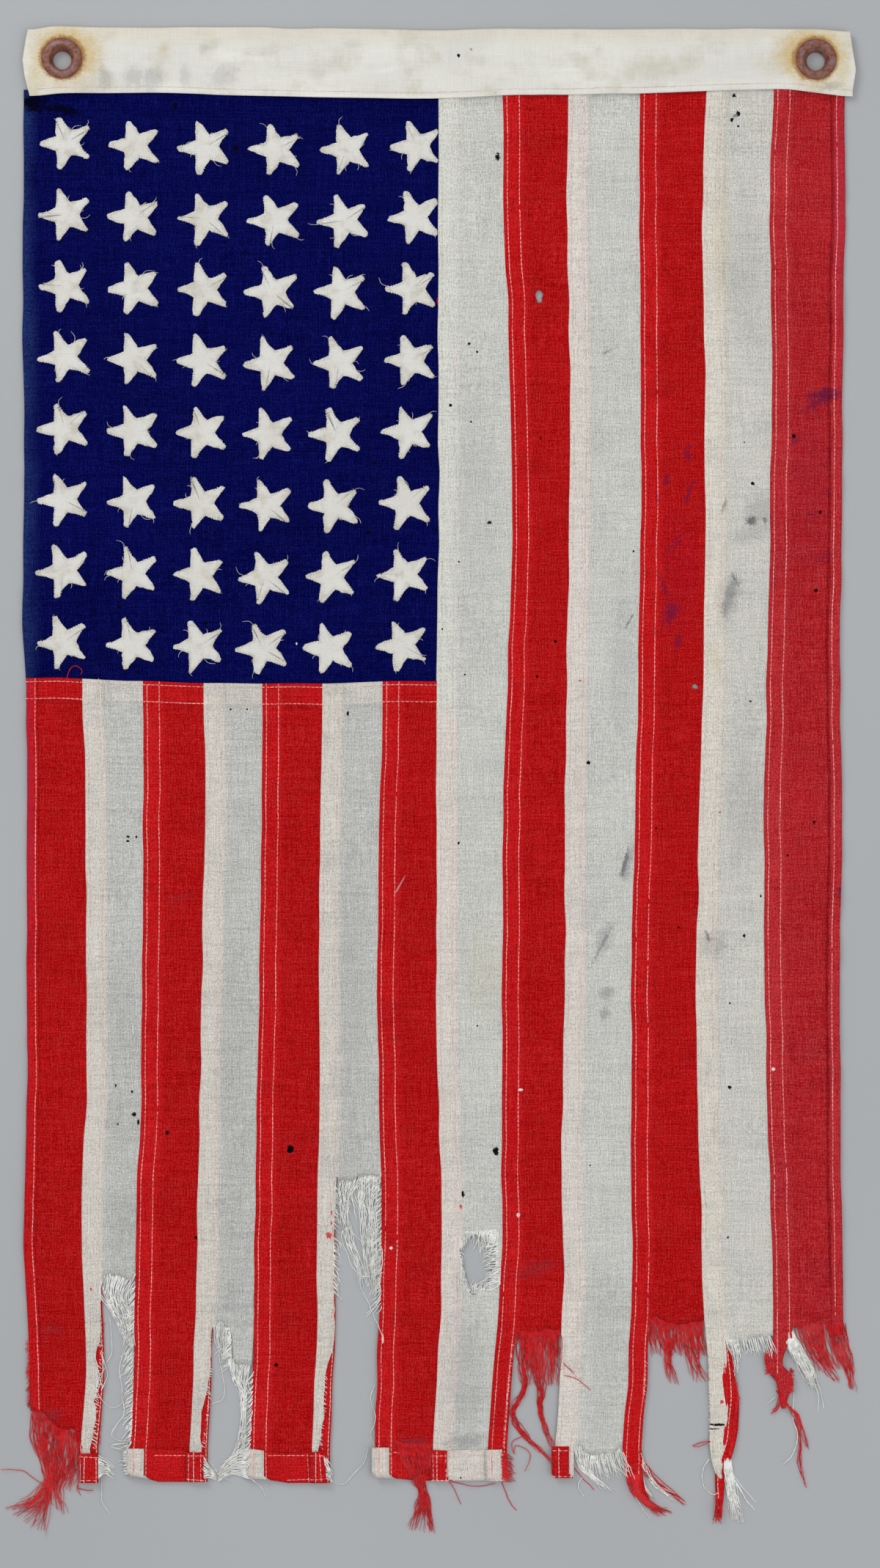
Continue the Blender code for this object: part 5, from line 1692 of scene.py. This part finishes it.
def rows_on_stripes(surface, red):
    """Paths of the two rows on every lap of one colour, with the hems and the band."""
    rows = []
    for stripe in range(3 if red else 2, STRIPES + 1, 2):
        course = SEAMS[stripe]
        if stripe >= FIRST_LONG:
            top = HEADING_LOWER(course(300.0)) - 0.6
        else:
            top = CANTON_FOOT(course(20.0)) - 1.0
        for offset, bottom in zip((FRONT_ROW, BACK_ROW), SEAM_ENDS[stripe]):
            rows += sewn_row(surface, seam_corners(course, offset, top, bottom), seed=stripe)
    for stripe in range(1 if red else 2, FIRST_LONG, 2):
        x = np.linspace(SEAMS[stripe](20.0) + 0.4, SEAMS[stripe + 1](20.0) - 0.2, 8)
        for below in BAND_ROWS:
            rows += sewn_row(surface, np.column_stack((x, CANTON_FOOT(x) - below)))
    if red:
        rows += sewn_row(surface, seam_corners(SEAMS[1], 4.3, CANTON_FOOT(-198.0) - 1.0, -318.0))
        rows += sewn_row(surface, seam_corners(SEAMS[STRIPES + 1], -3.9, 320.5, -272.0))
    else:
        rows += sewn_row(surface, STRIPE_12_TAIL_ROW)
    for corners in HEM_ROWS_ON_RED if red else HEM_ROWS_ON_WHITE:
        rows += sewn_row(surface, corners)
    return rows


def heading_rows(surface):
    """The row that holds the heading's folded edge down."""
    x = np.linspace(HEADING_SPAN[0] + 5.0, HEADING_SPAN[1] - 3.0, 60)
    return sewn_row(surface, np.column_stack((x, HEADING_LOWER(x) + 2.9)), sway=0.0)


def star_rows(surface):
    """Closed paths just inside the edges of the stars."""
    rows = []
    for row, column in STARS:
        centre = np.array(star_centre(row, column))
        outline = tucked(centre + (star_outline(row, column) - centre) * 0.90)
        path = np.vstack((outline, outline[:1]))
        z = surface.at(path[:, 0], path[:, 1]) - 0.06
        rows.append(np.column_stack((path, z, np.ones(len(path)))))
    return rows


# ---------------------------------------------------------------- loose yarn

ROOT_DEPTH = 3.0                 # length of a torn yarn that is still inside the cloth
YARN_REST = 0.24                 # height of a yarn's middle over what it lies on

# Yarns that hang from a torn edge side by side, as one bundle.
BUNDLES = {
    # stripe and colour: ends of the root line, places down the bundle with its width there, how many
    (1, "red"): (
        ((-196, -320), (-184, -326),
         ((-192, -334, 11), (-189, -348, 5), (-188, -356, 2.5), (-194, -364, 5), (-204, -369, 13)), 16),
        ((-194, -321), (-178, -330),
         ((-188, -338, 11), (-187, -355, 3), (-190, -365, 5), (-195, -376, 12)), 16),
        ((-187, -325), (-171, -334), ((-180, -344, 12), (-184, -356, 6), (-183, -367, 9)), 20),
        ((-186, -326), (-171, -336), ((-178, -346, 13), (-179, -357, 12)), 32),
        ((-196, -320), (-180, -329), ((-188, -335, 14), (-186, -349, 9)), 20),
        ((-189, -352), (-184, -354), ((-194, -362, 7), (-201, -368, 14)), 8),
    ),
    (2, "white"): (
        ((-162, -255), (-146, -255), ((-156, -263, 13), (-152, -274, 8), (-148, -288, 4)), 30),
        ((-162, -254), (-150, -255), ((-158, -262, 9), (-153, -272, 5)), 10),
        ((-163, -341), (-163, -352), ((-160, -347, 7), (-156, -350, 7)), 26),
    ),
    (4, "white"): (
        ((-100, -297), (-89, -297),
         ((-95, -304, 7), (-93, -311, 2.5), (-93, -322, 2.5), (-94, -333, 4), (-97, -345, 8)), 13),
        ((-100, -297), (-89, -297), ((-94, -304, 8), (-92, -312, 5)), 18),
        ((-108, -277), (-100, -279), ((-104, -286, 5), (-102, -294, 4)), 18),
        ((-92, -336), (-92, -352), ((-99, -346, 9), (-105, -351, 6)), 40),
        ((-113, -340), (-112, -353), ((-109, -349, 5), (-106, -352, 3)), 22),
    ),
    (6, "white"): (
        ((-54, -339), (-54, -353), ((-52, -347, 9), (-50, -351, 7)), 26),
        ((-48, -207), (-27, -206), ((-41, -214, 14), (-37, -224, 10)), 18),
        ((-37, -206), (-26, -206), ((-32, -225, 8), (-30, -245, 7), (-28, -262, 4)), 26),
        ((-46, -207), (-36, -207), ((-44, -220, 5), (-42, -235, 4), (-37, -247, 4), (-34, -259, 4)), 12),
    ),
    (7, "red"): (
        ((-18, -337), (-2, -337), ((-9, -346, 11), (-7, -354, 5), (-6, -362, 3), (-10, -377, 5)), 16),
        ((-18, -337), (-2, -337), ((-9, -346, 11), (-7, -354, 5), (-4, -362, 3), (-2, -378, 5)), 22),
        ((-18, -336), (-2, -336), ((-8, -345, 13), (-8, -351, 9)), 60),
    ),
    (9, "red"): (
        ((40, -282), (49, -282),
         ((43, -295, 5), (44, -308, 2.5), (38, -321, 1.5), (44, -331, 1.5), (52, -339, 1.5),
          (59, -345, 2.5)), 12),
        ((45, -281), (58, -281), ((50, -294, 8), (52, -309, 3), (52, -322, 2), (58, -337, 2.5)), 15),
        ((42, -281), (62, -281), ((52, -293, 17), (53, -307, 15)), 44),
        ((40, -281), (62, -280), ((52, -287, 20), (52, -294, 19)), 40),
    ),
    (10, "white"): (
        ((68, -338), (79, -341), ((74, -348, 6), (80, -354, 3), (85, -358, 4)), 26),
        ((76, -340), (92, -338), ((86, -347, 16), (88, -352, 17)), 44),
        ((100, -338), (102, -348), ((107, -355, 2.5), (117, -362, 5)), 12),
    ),
    (11, "red"): (
        ((93, -350), (101, -350), ((98, -358, 5), (105, -365, 4), (112, -369, 8)), 40),
        ((100, -340), (101, -350), ((110, -355, 2.5), (122, -364, 3)), 9),
        ((104, -276), (131, -277), ((118, -284, 27), (120, -292, 27)), 70),
        ((104, -276), (119, -277), ((114, -287, 7), (114, -296, 3), (116, -306, 5)), 14),
        ((117, -277), (131, -277), ((125, -288, 8), (127, -298, 6), (130, -305, 8)), 14),
        ((137, -360), (140, -360), ((138, -371, 4), (138, -374, 5)), 16),
    ),
    (12, "white"): (
        ((141, -344), (145, -346), ((144, -354, 5), (146, -364, 6), (148, -373, 6)), 40),
        ((142, -284), (164, -284), ((154, -289, 23), (155, -292, 23)), 40),
        ((142, -285), (148, -284), ((147, -293, 4), (147, -301, 3)), 12),
        ((172, -284), (176, -283), ((177, -291, 6), (182, -300, 6), (185, -308, 4)), 44),
    ),
    (13, "red"): (
        ((174, -276), (199, -277), ((190, -290, 19), (195, -300, 17)), 38),
        ((190, -277), (201, -280), ((200, -291, 7), (204, -309, 4)), 16),
        ((176, -278), (190, -277), ((188, -292, 8), (196, -305, 4)), 16),
        ((168, -312), (170, -313), ((167, -318, 1.5), (164, -322, 1.5)), 6),
        ((168, -312), (170, -313), ((172, -317, 1.5), (177, -322, 1.5), (182, -338, 2)), 6),
        ((168, -312), (170, -313),
         ((175, -321, 1.5), (178, -333, 1.5), (178, -345, 1.5), (181, -356, 2)), 6),
    ),
}

# Short ends that stand out from an edge like the teeth of a comb.
COMBS = {
    # stripe and colour: ends of the edge, direction and length, how many
    (1, "red"): (
        ((-197.5, -285), (-197.5, -318), (-1.5, -1.5), 60),
        ((-160.5, -276), (-162.5, -336), (1, -0.6), 50),
    ),
    (2, "white"): (
        ((-146, -257), (-147, -296), (-4.5, -6), 70),
        ((-147, -296), (-147.5, -335), (-3.4, -4), 80),
        ((-162.5, -286), (-166, -337), (2, -1.2), 60),
        ((-150.5, -336), (-149, -350), (-3, -1), 40),
    ),
    (3, "red"): (
        ((-108.5, -277), (-110.5, -338), (0.8, -0.4), 40),
    ),
    (4, "white"): (
        ((-99.5, -278), (-99.5, -296), (-4, -4.5), 45),
        ((-88, -300), (-90, -345), (-4, -5), 60),
        ((-108.5, -277), (-108.5, -303), (1.2, -0.3), 40),
        ((-109.5, -307), (-113, -337), (1.8, -1.5), 30),
    ),
    (5, "red"): (
        ((-49, -265), (-51.5, -338), (0.8, -0.3), 50),
    ),
    (6, "white"): (
        ((-26.5, -207), (-26, -268), (-4.5, -6), 90),
        ((-48, -208), (-48.5, -230), (2.5, -4), 30),
        ((-49, -235), (-48.5, -262), (3, -5), 36),
        ((-53, -298), (-55, -338), (1.8, -1.2), 30),
    ),
    (7, "red"): (
        ((-18, -335), (-2, -335), (1.5, -6), 50),
    ),
    (8, "white"): (
        ((31.5, -232), (31.5, -258), (-7, -2), 90),
        ((14.5, -232), (22, -231.5), (1, -5), 24),
        ((22, -231.5), (30, -231), (-1, -9), 36),
        ((13, -234), (13.5, -257), (1.6, -2), 30),
        ((15.5, -261.5), (29, -261), (1.6, 4.6), 50),
    ),
    (9, "white"): (
        ((38.5, -286), (33.5, -337), (1.1, -0.8), 80),
    ),
    (9, "red"): (
        ((32.5, -338.5), (33, -351.5), (5.2, -3), 90),
    ),
    (11, "white"): (
        ((104, -278), (100.5, -345), (1.1, -0.8), 100),
    ),
    (11, "red"): (
        ((144.5, -292), (148, -312), (1.4, 0.2), 60),
        ((148, -312), (144, -341), (1.6, -0.8), 90),
    ),
    (12, "white"): (
        ((133, -300), (133.5, -330), (-0.9, -0.3), 20),
    ),
    (13, "red"): (
        ((161.5, -291), (162, -302), (-1.6, -0.4), 36),
        ((174.5, -299), (174, -311), (1.6, -0.4), 40),
        ((167, -303), (168, -313), (-1.4, -1), 24),
    ),
}

# Single threads that lie where they fell.
LOOSE = {
    # stripe and colour: places
    (1, "red"): (
        ((-189, -356), (-194, -353), (-200, -349), (-205, -348), (-211, -348)),
        ((-179, 37), (-177, 42), (-174, 43), (-171, 41), (-172, 39)),
        ((-172, -353), (-174, -357), (-170, -358), (-166, -358)),
    ),
    (2, "white"): (
        ((-158, -274), (-157, -284), (-157, -290), (-160, -298), (-164, -305), (-163, -312), (-160, -316),
         (-156, -318), (-151, -315)),
        ((-151, -289), (-153, -299), (-152, -310), (-151, -320), (-155, -327), (-157, -331), (-154, -334),
         (-149, -334)),
        ((-149, -335), (-156, -336), (-157, -337), (-152, -338)),
        ((-166, -290), (-164, -296), (-163, -303), (-161, -308)),
        ((-163, -289), (-161, -297), (-162, -305), (-164, -310)),
        ((-162, -290), (-160, -298), (-159, -303), (-162, -309)),
        ((-162, -352), (-162, -359), (-161, -365), (-158, -370)),
    ),
    (4, "white"): (
        ((-105, -291), (-103, -303), (-102, -310), (-103, -314), (-108, -316)),
        ((-89, -352), (-85, -356), (-82, -361)),
        ((-111, -342), (-105, -350), (-100, -353)),
    ),
    (6, "white"): (
        ((-50, -354), (-44, -355), (-39, -350), (-34, -344), (-32, -338)),
        ((-29, -307), (-31, -313), (-29, -320), (-29, -326), (-31, -331), (-29, -337)),
        ((-47, -207), (-44, -226), (-45, -235), (-42, -244), (-38, -252), (-32, -254), (-25, -252)),
        ((-41, -207), (-42, -218), (-41, -231), (-36, -250), (-36, -258), (-32, -267), (-25, -283)),
        ((-38, -207), (-35, -225), (-34, -230), (-35, -238), (-32, -248)),
        ((-34, -206), (-37, -216), (-32, -222), (-28, -234), (-29, -238)),
        ((-42, -207), (-45, -218), (-41, -231), (-35, -237), (-28, -238), (-25, -246), (-26, -252)),
    ),
    (7, "red"): (
        ((-7, -361), (-9, -364), (-9, -368), (-6, -370), (-6, -365)),
        ((7, -354), (9, -356), (11, -360), (13, -365)),
        ((8, -354), (20, -356), (30, -355)),
    ),
    (9, "red"): (
        ((33, -354), (36, -362), (40, -368)),
        ((43, -332), (38, -335), (39, -341), (40, -336), (47, -341), (44, -349)),
        ((61, -294), (68, -301)),
        ((62, -302), (68, -303), (76, -309)),
        ((68, -347), (74, -354), (78, -358)),
    ),
    (10, "white"): (
        ((72, -352), (70, -356), (73, -361)),
        ((96, -357), (99, -363), (105, -372)),
    ),
    (11, "red"): (
        ((135, -334), (130, -335), (126, -337)),
        ((135, -334), (129, -337), (126, -336)),
    ),
    (12, "white"): (
        ((145, -350), (150, -360), (156, -368)),
        ((146, -352), (151, -361), (155, -366)),
        ((146, -351), (151, -358), (157, -364)),
        ((134, -343), (131, -348), (131, -356), (135, -360), (138, -359)),
        ((175, -311), (175, -324), (177, -332), (175, -340), (170, -345)),
        ((184, -304), (187, -312), (187, -320)),
        ((186, -304), (188, -310), (190, -318)),
        ((166, -313), (162, -316)),
    ),
}


def laid_strand(surface, plan, rng, wander, rooted=0.0, taper=0.45):
    """A yarn along a flat line: rooted is the length inside the cloth; then it lies on what is below."""
    steps = np.concatenate(([0.0], np.cumsum(np.linalg.norm(np.diff(plan, axis=0), axis=1))))
    along = np.gradient(plan, axis=0)
    along /= np.maximum(np.linalg.norm(along, axis=1), 1e-6)[:, None]
    across = np.column_stack((-along[:, 1], along[:, 0]))
    waves = rng.uniform((5.0, 11.0), (9.0, 20.0))
    phases = rng.uniform(0, 2 * math.pi, 2)
    sway = 0.4 * np.sin(2 * math.pi * steps / waves[0] + phases[0])
    sway += 0.8 * np.sin(2 * math.pi * steps / waves[1] + phases[1])
    ramp = np.clip((steps - rooted) / 8.0, 0.0, 1.0)
    plan = plan + across * (wander * sway * ramp)[:, None]
    below = surface.at(plan[:, 0], plan[:, 1])
    rest = np.max((np.roll(below, 1), below, np.roll(below, -1)), axis=0)
    rest[0], rest[-1] = below[0], below[-1]
    smooth = np.convolve(np.pad(rest, 1, mode="edge"), (1 / 3, 1 / 3, 1 / 3), "valid")
    rest = np.maximum(smooth, below) + YARN_REST
    z = rest + rng.uniform(0.0, 1.1) * (0.5 + 0.5 * np.sin(2 * math.pi * steps / waves[1] + phases[0])) * ramp
    if rooted:
        inside = np.clip(1 - (steps - rooted) / 2.5, 0.0, 1.0)
        z = z * (1 - inside) + np.maximum(below[0] - 0.25, 0.2) * inside
    thickness = np.interp(steps / steps[-1], (0.0, 0.7, 1.0), (1.0, 0.95, taper)) * rng.uniform(0.8, 1.15)
    return np.column_stack((plan, z, thickness))


def bundle_line(rng, root_a, root_b, places, share):
    """The plan of one yarn of a bundle; share, from -0.5 to 0.5, is its place across it."""
    root_a, root_b = np.array(root_a, float), np.array(root_b, float)
    root = (root_a + root_b) / 2 + (root_b - root_a) * share
    across = (root_b - root_a) / np.linalg.norm(root_b - root_a)
    corners = [root]
    for x, y, width in places:
        loose = min(0.35 + 0.07 * width, 0.9) * min(1.0, abs(root[1] - y) / 20 + 0.25)
        corners.append(np.array((x, y)) + across * share * width + rng.normal(0, loose, 2))
    if rng.uniform() < 0.35:
        corners[-1] = corners[-2] + (corners[-1] - corners[-2]) * rng.uniform(0.3, 0.8)
    down = corners[1] - root
    corners.insert(0, root - down / np.linalg.norm(down) * ROOT_DEPTH)
    return curve_through(corners, 1.5)


def frayed_paths(surface, stripe, colour):
    """Every loose yarn of one colour that belongs to one stripe."""
    rng = np.random.default_rng(500 + 2 * stripe + (colour == "red"))
    paths = []
    mine = (stripe, colour)
    for root_a, root_b, places, count in BUNDLES.get(mine, ()):
        for share in (np.arange(count) + rng.uniform(0.1, 0.9, count)) / count - 0.5:
            plan = bundle_line(rng, root_a, root_b, places, share)
            paths.append(laid_strand(surface, plan, rng, rng.uniform(0.1, 0.7), ROOT_DEPTH))
    for edge_a, edge_b, reach, count in COMBS.get(mine, ()):
        edge_a, edge_b = np.array(edge_a), np.array(edge_b)
        for share in (np.arange(count) + rng.uniform(0, 1, count)) / count:
            outward = np.array(reach) * rng.uniform(0.5, 1.2) + rng.normal(0, 0.12 * np.linalg.norm(reach), 2)
            root = edge_a + (edge_b - edge_a) * share - outward / np.linalg.norm(outward) * 1.2
            bend = np.array((-outward[1], outward[0])) * rng.uniform(-0.22, 0.22)
            plan = curve_through((root, root + outward * 0.6 + bend, root + outward * 1.2), 0.8)
            paths.append(laid_strand(surface, plan, rng, rng.uniform(0.0, 0.3), 1.0))
    for corners in LOOSE.get(mine, ()):
        paths.append(laid_strand(surface, curve_through(corners, 1.4), rng, 0.25, 1.0, 0.8))
    return paths


def star_frays(surface):
    """Hairs and small loops that have come out of the edges of the stars."""
    rng = np.random.default_rng(901)
    paths = []
    for star in STARS:
        outline = star_outline(*star)
        centre = np.array(star_centre(*star))
        for _ in range(int(rng.integers(3, 8))):
            root = outline[int(rng.integers(len(outline)))]
            away = (root - centre) / np.linalg.norm(root - centre)
            side = np.array((-away[1], away[0])) * rng.choice((-1.0, 1.0))
            reach = rng.uniform(0.8, 2.6) if rng.uniform() < 0.8 else rng.uniform(3.0, 5.5)
            lean = rng.uniform(0.2, 1.2)
            corners = (root - away * 0.6, root + (away + side * lean * 0.6) * reach * 0.5,
                       root + (away * 0.8 + side * lean) * reach)
            plan = curve_through(corners, 0.7)
            if plan[:, 0].max() <= SEAMS[FIRST_LONG](root[1]) - 0.4:
                paths.append(laid_strand(surface, plan, rng, 0.15, 0.0, 0.5))
    return paths


# ---------------------------------------------------------------- settings

def colour_setting(name, description, default):
    return FloatVectorProperty(name=name, description=description, size=3, min=0.0, max=1.0,
                               subtype="COLOR", default=default)


def length_setting(name, description, low, high, default):
    return FloatProperty(name=name, description=description, min=low, max=high, unit="LENGTH",
                         default=default)


def power_setting(name, description, default):
    return FloatProperty(name=name, description=description, min=0.0, max=1000.0, unit="POWER",
                         default=default)


class FlagClothSettings(PropertyGroup):
    """Colours and mesh size of the cloth."""

    red: colour_setting("Red", "Colour of one layer of the red bunting", RED_LOOK["single"])
    white: colour_setting("White", "Colour of one layer of the white bunting of the long stripes",
                          WHITE_LOOK["single"])
    sheer_white: colour_setting("Sheer White", "Colour of the thinner white bunting of the short stripes",
                                SHEER_LOOK["single"])
    blue: colour_setting("Blue", "Colour of the canton", BLUE_LOOK["single"])
    canton_step: length_setting("Canton Step", "Distance between the lines of the canton's mesh",
                                0.001, 0.02, 0.003)


class FlagSewingSettings(PropertyGroup):
    """Sizes and colours of the stitches."""

    pitch: length_setting("Pitch", "Distance from one stitch of a seam to the next", 0.001, 0.02, 0.00215)
    length: length_setting("Stitch Length", "Length of one stitch that shows", 0.0005, 0.01, 0.0026)
    width: length_setting("Thread Width", "Width of the sewing thread", 0.0001, 0.003, 0.0005)
    kept: FloatProperty(
        name="Kept", description="Share of the stitches that are still there", min=0.0, max=1.0,
        subtype="FACTOR", default=0.992)
    on_red: colour_setting("Thread on Red", "Sewing thread that the red dye has tinted",
                           paint(246, 164, 158))
    on_white: colour_setting("Thread on White", "Sewing thread on the white stripes", paint(226, 208, 192))
    seed: IntProperty(name="Seed", description="Changes which stitches are missing", default=3)


class FlagYarnSettings(PropertyGroup):
    """Sizes and colours of the loose yarn."""

    radius: length_setting("Yarn Radius", "Radius of one loose yarn of bunting", 0.00005, 0.002, 0.00024)
    hair_radius: length_setting("Hair Radius", "Radius of the hairs round the stars",
                                0.00005, 0.001, 0.00012)
    sides: IntProperty(
        name="Sides", description="Number of sides of a yarn's mesh", min=3, max=12, default=3)
    red: colour_setting("Red Yarn", "Colour of loose red yarn", paint(224, 20, 28))
    white: colour_setting("White Yarn", "Colour of loose white yarn", paint(248, 247, 241))


class FlagMetalSettings(PropertyGroup):
    """Make of the grommets."""

    segments: IntProperty(
        name="Segments", description="Number of steps round an eyelet", min=24, max=256, default=96)


class FlagStageSettings(PropertyGroup):
    """The floor and the light."""

    floor: colour_setting("Floor", "Colour of the floor", paint(172, 174, 176))
    key_power: power_setting("Key Light", "Power of the light from the upper left", 17.0)
    fill_power: power_setting("Fill Light", "Power of the broad light overhead", 19.0)


# ---------------------------------------------------------------- operators


def piece_of_cloth(name):
    """A piece that an earlier step has made."""
    piece = bpy.data.objects.get(name)
    if piece is None:
        raise RuntimeError(f"{name} has to be made first")
    return piece


def cloth_so_far():
    """All the cloth that stitches and yarns can lie on."""
    names = [f"stripe_{stripe:02d}_cloth" for stripe in range(1, STRIPES + 1)]
    return [piece_of_cloth(name) for name in (*names, "canton_cloth", "heading_cloth")]


def finish_piece(piece):
    """Puts a piece on the flag's one body."""
    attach(piece, "root")
    return piece


def plan_size(piece):
    """Width and length over all of a piece, as it lies."""
    size = np.ptp(points_of(piece.data), axis=0) * MM
    return float(size[0]), float(size[1])


class FLAG_OT_make_stripes(Operator):
    """Makes the thirteen stripes of bunting with their seams, hems, tears and holes"""

    bl_idname = "flag.make_stripes"
    bl_label = "Stripes"

    def execute(self, context):
        for stripe, look in enumerate(STRIPE_LOOKS, 1):
            sides = pale_lap if stripe == FIRST_LONG else None
            material = bunting_material(f"bunting of stripe {stripe}", context.scene.flag_cloth, look,
                                        f"stripe_{stripe:02d}", sides)
            piece, area = make_stripe_cloth(stripe, material)
            finish_piece(piece)
            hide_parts(f"stripe_{stripe:02d}")
            plan_size(piece)
        return {"FINISHED"}


class FLAG_OT_make_canton(Operator):
    """Makes the blue cloth of the canton"""

    bl_idname = "flag.make_canton"
    bl_label = "Canton"

    def execute(self, context):
        settings = context.scene.flag_cloth
        material = bunting_material("blue bunting", settings, BLUE_LOOK, "canton", canton_sides)
        piece, area = make_canton_cloth(material, settings.canton_step / MM)
        finish_piece(piece)
        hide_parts("canton")
        plan_size(piece)
        return {"FINISHED"}


class FLAG_OT_make_stars(Operator):
    """Makes the forty-eight cotton stars"""

    bl_idname = "flag.make_stars"
    bl_label = "Stars"

    def execute(self, context):
        material = cotton_material()
        for row, column in STARS:
            piece, area = make_star(row, column, material)
            finish_piece(piece)
            plan_size(piece)
        return {"FINISHED"}


class FLAG_OT_make_heading(Operator):
    """Makes the folded canvas heading"""

    bl_idname = "flag.make_heading"
    bl_label = "Heading"

    def execute(self, context):
        piece, flat = make_heading_cloth(canvas_material())
        finish_piece(piece)
        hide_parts("heading")
        return {"FINISHED"}


class FLAG_OT_make_grommets(Operator):
    """Makes the two eyelets and finishes the washers under them"""

    bl_idname = "flag.make_grommets"
    bl_label = "Grommets"

    def execute(self, context):
        material = brass_material("brass of the eyelets", 0.0, True)
        washer = brass_material("brass of the washers", 1.0, False)
        for side in ("left", "right"):
            piece = make_eyelet(side, material, context.scene.flag_metal.segments)
            finish_piece(piece)
            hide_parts(f"eyelet_{side}")
            NODES[f"washer_{side}"].material_slots[0].material = washer
        return {"FINISHED"}


class FLAG_OT_sew_seams(Operator):
    """Sews the seams, the hems, the foot of the canton and the heading"""

    bl_idname = "flag.sew_seams"
    bl_label = "Seam Stitches"

    def execute(self, context):
        settings = context.scene.flag_sewing
        surface = Surface(cloth_so_far())
        tree = stitch_tree()
        on_red = yarn_material("thread on red", tuple(settings.on_red), paint(222, 118, 114),
                               paint(255, 202, 192))
        on_white = yarn_material("thread on white", tuple(settings.on_white), paint(204, 186, 170),
                                 paint(240, 232, 222))
        for name, rows, thread, slot, thinner in (
                ("stitches_on_red", rows_on_stripes(surface, True), on_red, "red_bunting", 1.0),
                ("stitches_on_white", rows_on_stripes(surface, False), on_white, "white_bunting", 0.9),
                ("stitches_on_heading", heading_rows(surface), on_white, "canvas", 0.8)):
            piece = grow(name, rows, tree, pitch=settings.pitch, stitch_length=settings.length,
                         stitch_width=settings.width * thinner, kept=settings.kept, seed=settings.seed,
                         thread=thread)
            finish_piece(piece)
        return {"FINISHED"}


class FLAG_OT_sew_stars(Operator):
    """Sews the edges of the stars and frays them"""

    bl_idname = "flag.sew_stars"
    bl_label = "Star Stitches"

    def execute(self, context):
        settings = context.scene.flag_yarn
        names = [f"star_{row + 1}_{column + 1}" for row, column in STARS]
        surface = Surface([piece_of_cloth(name) for name in ("canton_cloth", *names)])
        cotton = yarn_material("star thread", paint(228, 225, 216), paint(206, 200, 186),
                               paint(244, 243, 238))
        piece = grow("star_stitches", star_rows(surface), stitch_tree(), thread=cotton, **STAR_SEWING)
        finish_piece(piece)
        piece = grow("star_frays", star_frays(surface), yarn_tree(), yarn=cotton,
                     yarn_radius=settings.hair_radius, sides=settings.sides)
        finish_piece(piece)
        return {"FINISHED"}


class FLAG_OT_fray_stripes(Operator):
    """Hangs the loose yarns from the torn edges"""

    bl_idname = "flag.fray_stripes"
    bl_label = "Loose Yarns"

    def execute(self, context):
        settings = context.scene.flag_yarn
        surface = Surface(cloth_so_far())
        tree = yarn_tree()
        colours = {
            "red": yarn_material("red yarn", tuple(settings.red), paint(190, 12, 20), paint(238, 56, 58)),
            "white": yarn_material("white yarn", tuple(settings.white), paint(218, 219, 213),
                                   paint(255, 254, 250)),
        }
        for stripe in range(1, STRIPES + 1):
            for colour, yarn in colours.items():
                paths = frayed_paths(surface, stripe, colour)
                if not paths:
                    continue
                piece = grow(f"stripe_{stripe:02d}_{colour}_threads", paths, tree, yarn=yarn,
                             yarn_radius=settings.radius, sides=settings.sides)
                finish_piece(piece)
        return {"FINISHED"}


class FLAG_OT_set_stage(Operator):
    """Sets up the floor, the lights and the camera"""

    bl_idname = "flag.set_stage"
    bl_label = "Stage"

    def execute(self, context):
        settings = context.scene.flag_stage
        make_stage(tuple(settings.floor), settings.key_power, settings.fill_power)
        return {"FINISHED"}


# ---------------------------------------------------------------- panel

class FLAG_PT_maker(Panel):
    """Lists the steps that make the flag, in their order"""

    bl_label = "Tattered Flag"
    bl_idname = "FLAG_PT_maker"
    bl_space_type = "VIEW_3D"
    bl_region_type = "UI"
    bl_category = "Flag"

    def draw(self, context):
        layout = self.layout
        for name, group in SETTINGS.items():
            box = layout.box()
            for setting in group.__annotations__:
                box.prop(getattr(context.scene, name), setting)
        for operator in OPERATORS:
            layout.operator(operator.bl_idname)


SETTINGS = {
    "flag_cloth": FlagClothSettings,
    "flag_sewing": FlagSewingSettings,
    "flag_yarn": FlagYarnSettings,
    "flag_metal": FlagMetalSettings,
    "flag_stage": FlagStageSettings,
}
OPERATORS = (
    FLAG_OT_make_stripes, FLAG_OT_make_canton, FLAG_OT_make_stars, FLAG_OT_make_heading,
    FLAG_OT_make_grommets, FLAG_OT_sew_seams, FLAG_OT_sew_stars, FLAG_OT_fray_stripes, FLAG_OT_set_stage,
)
CLASSES = (*SETTINGS.values(), *OPERATORS, FLAG_PT_maker)


def register():
    for item in CLASSES:
        bpy.utils.register_class(item)
    for name, group in SETTINGS.items():
        setattr(bpy.types.Scene, name, PointerProperty(type=group))


def unregister():
    for name in SETTINGS:
        delattr(bpy.types.Scene, name)
    for item in reversed(CLASSES):
        bpy.utils.unregister_class(item)


def main():
    register()
    bpy.ops.flag.make_stripes()
    bpy.ops.flag.make_canton()
    bpy.ops.flag.make_stars()
    bpy.ops.flag.make_heading()
    bpy.ops.flag.make_grommets()
    bpy.ops.flag.sew_seams()
    bpy.ops.flag.sew_stars()
    bpy.ops.flag.fray_stripes()
    bpy.ops.flag.set_stage()


if __name__ == "__main__":
    main()
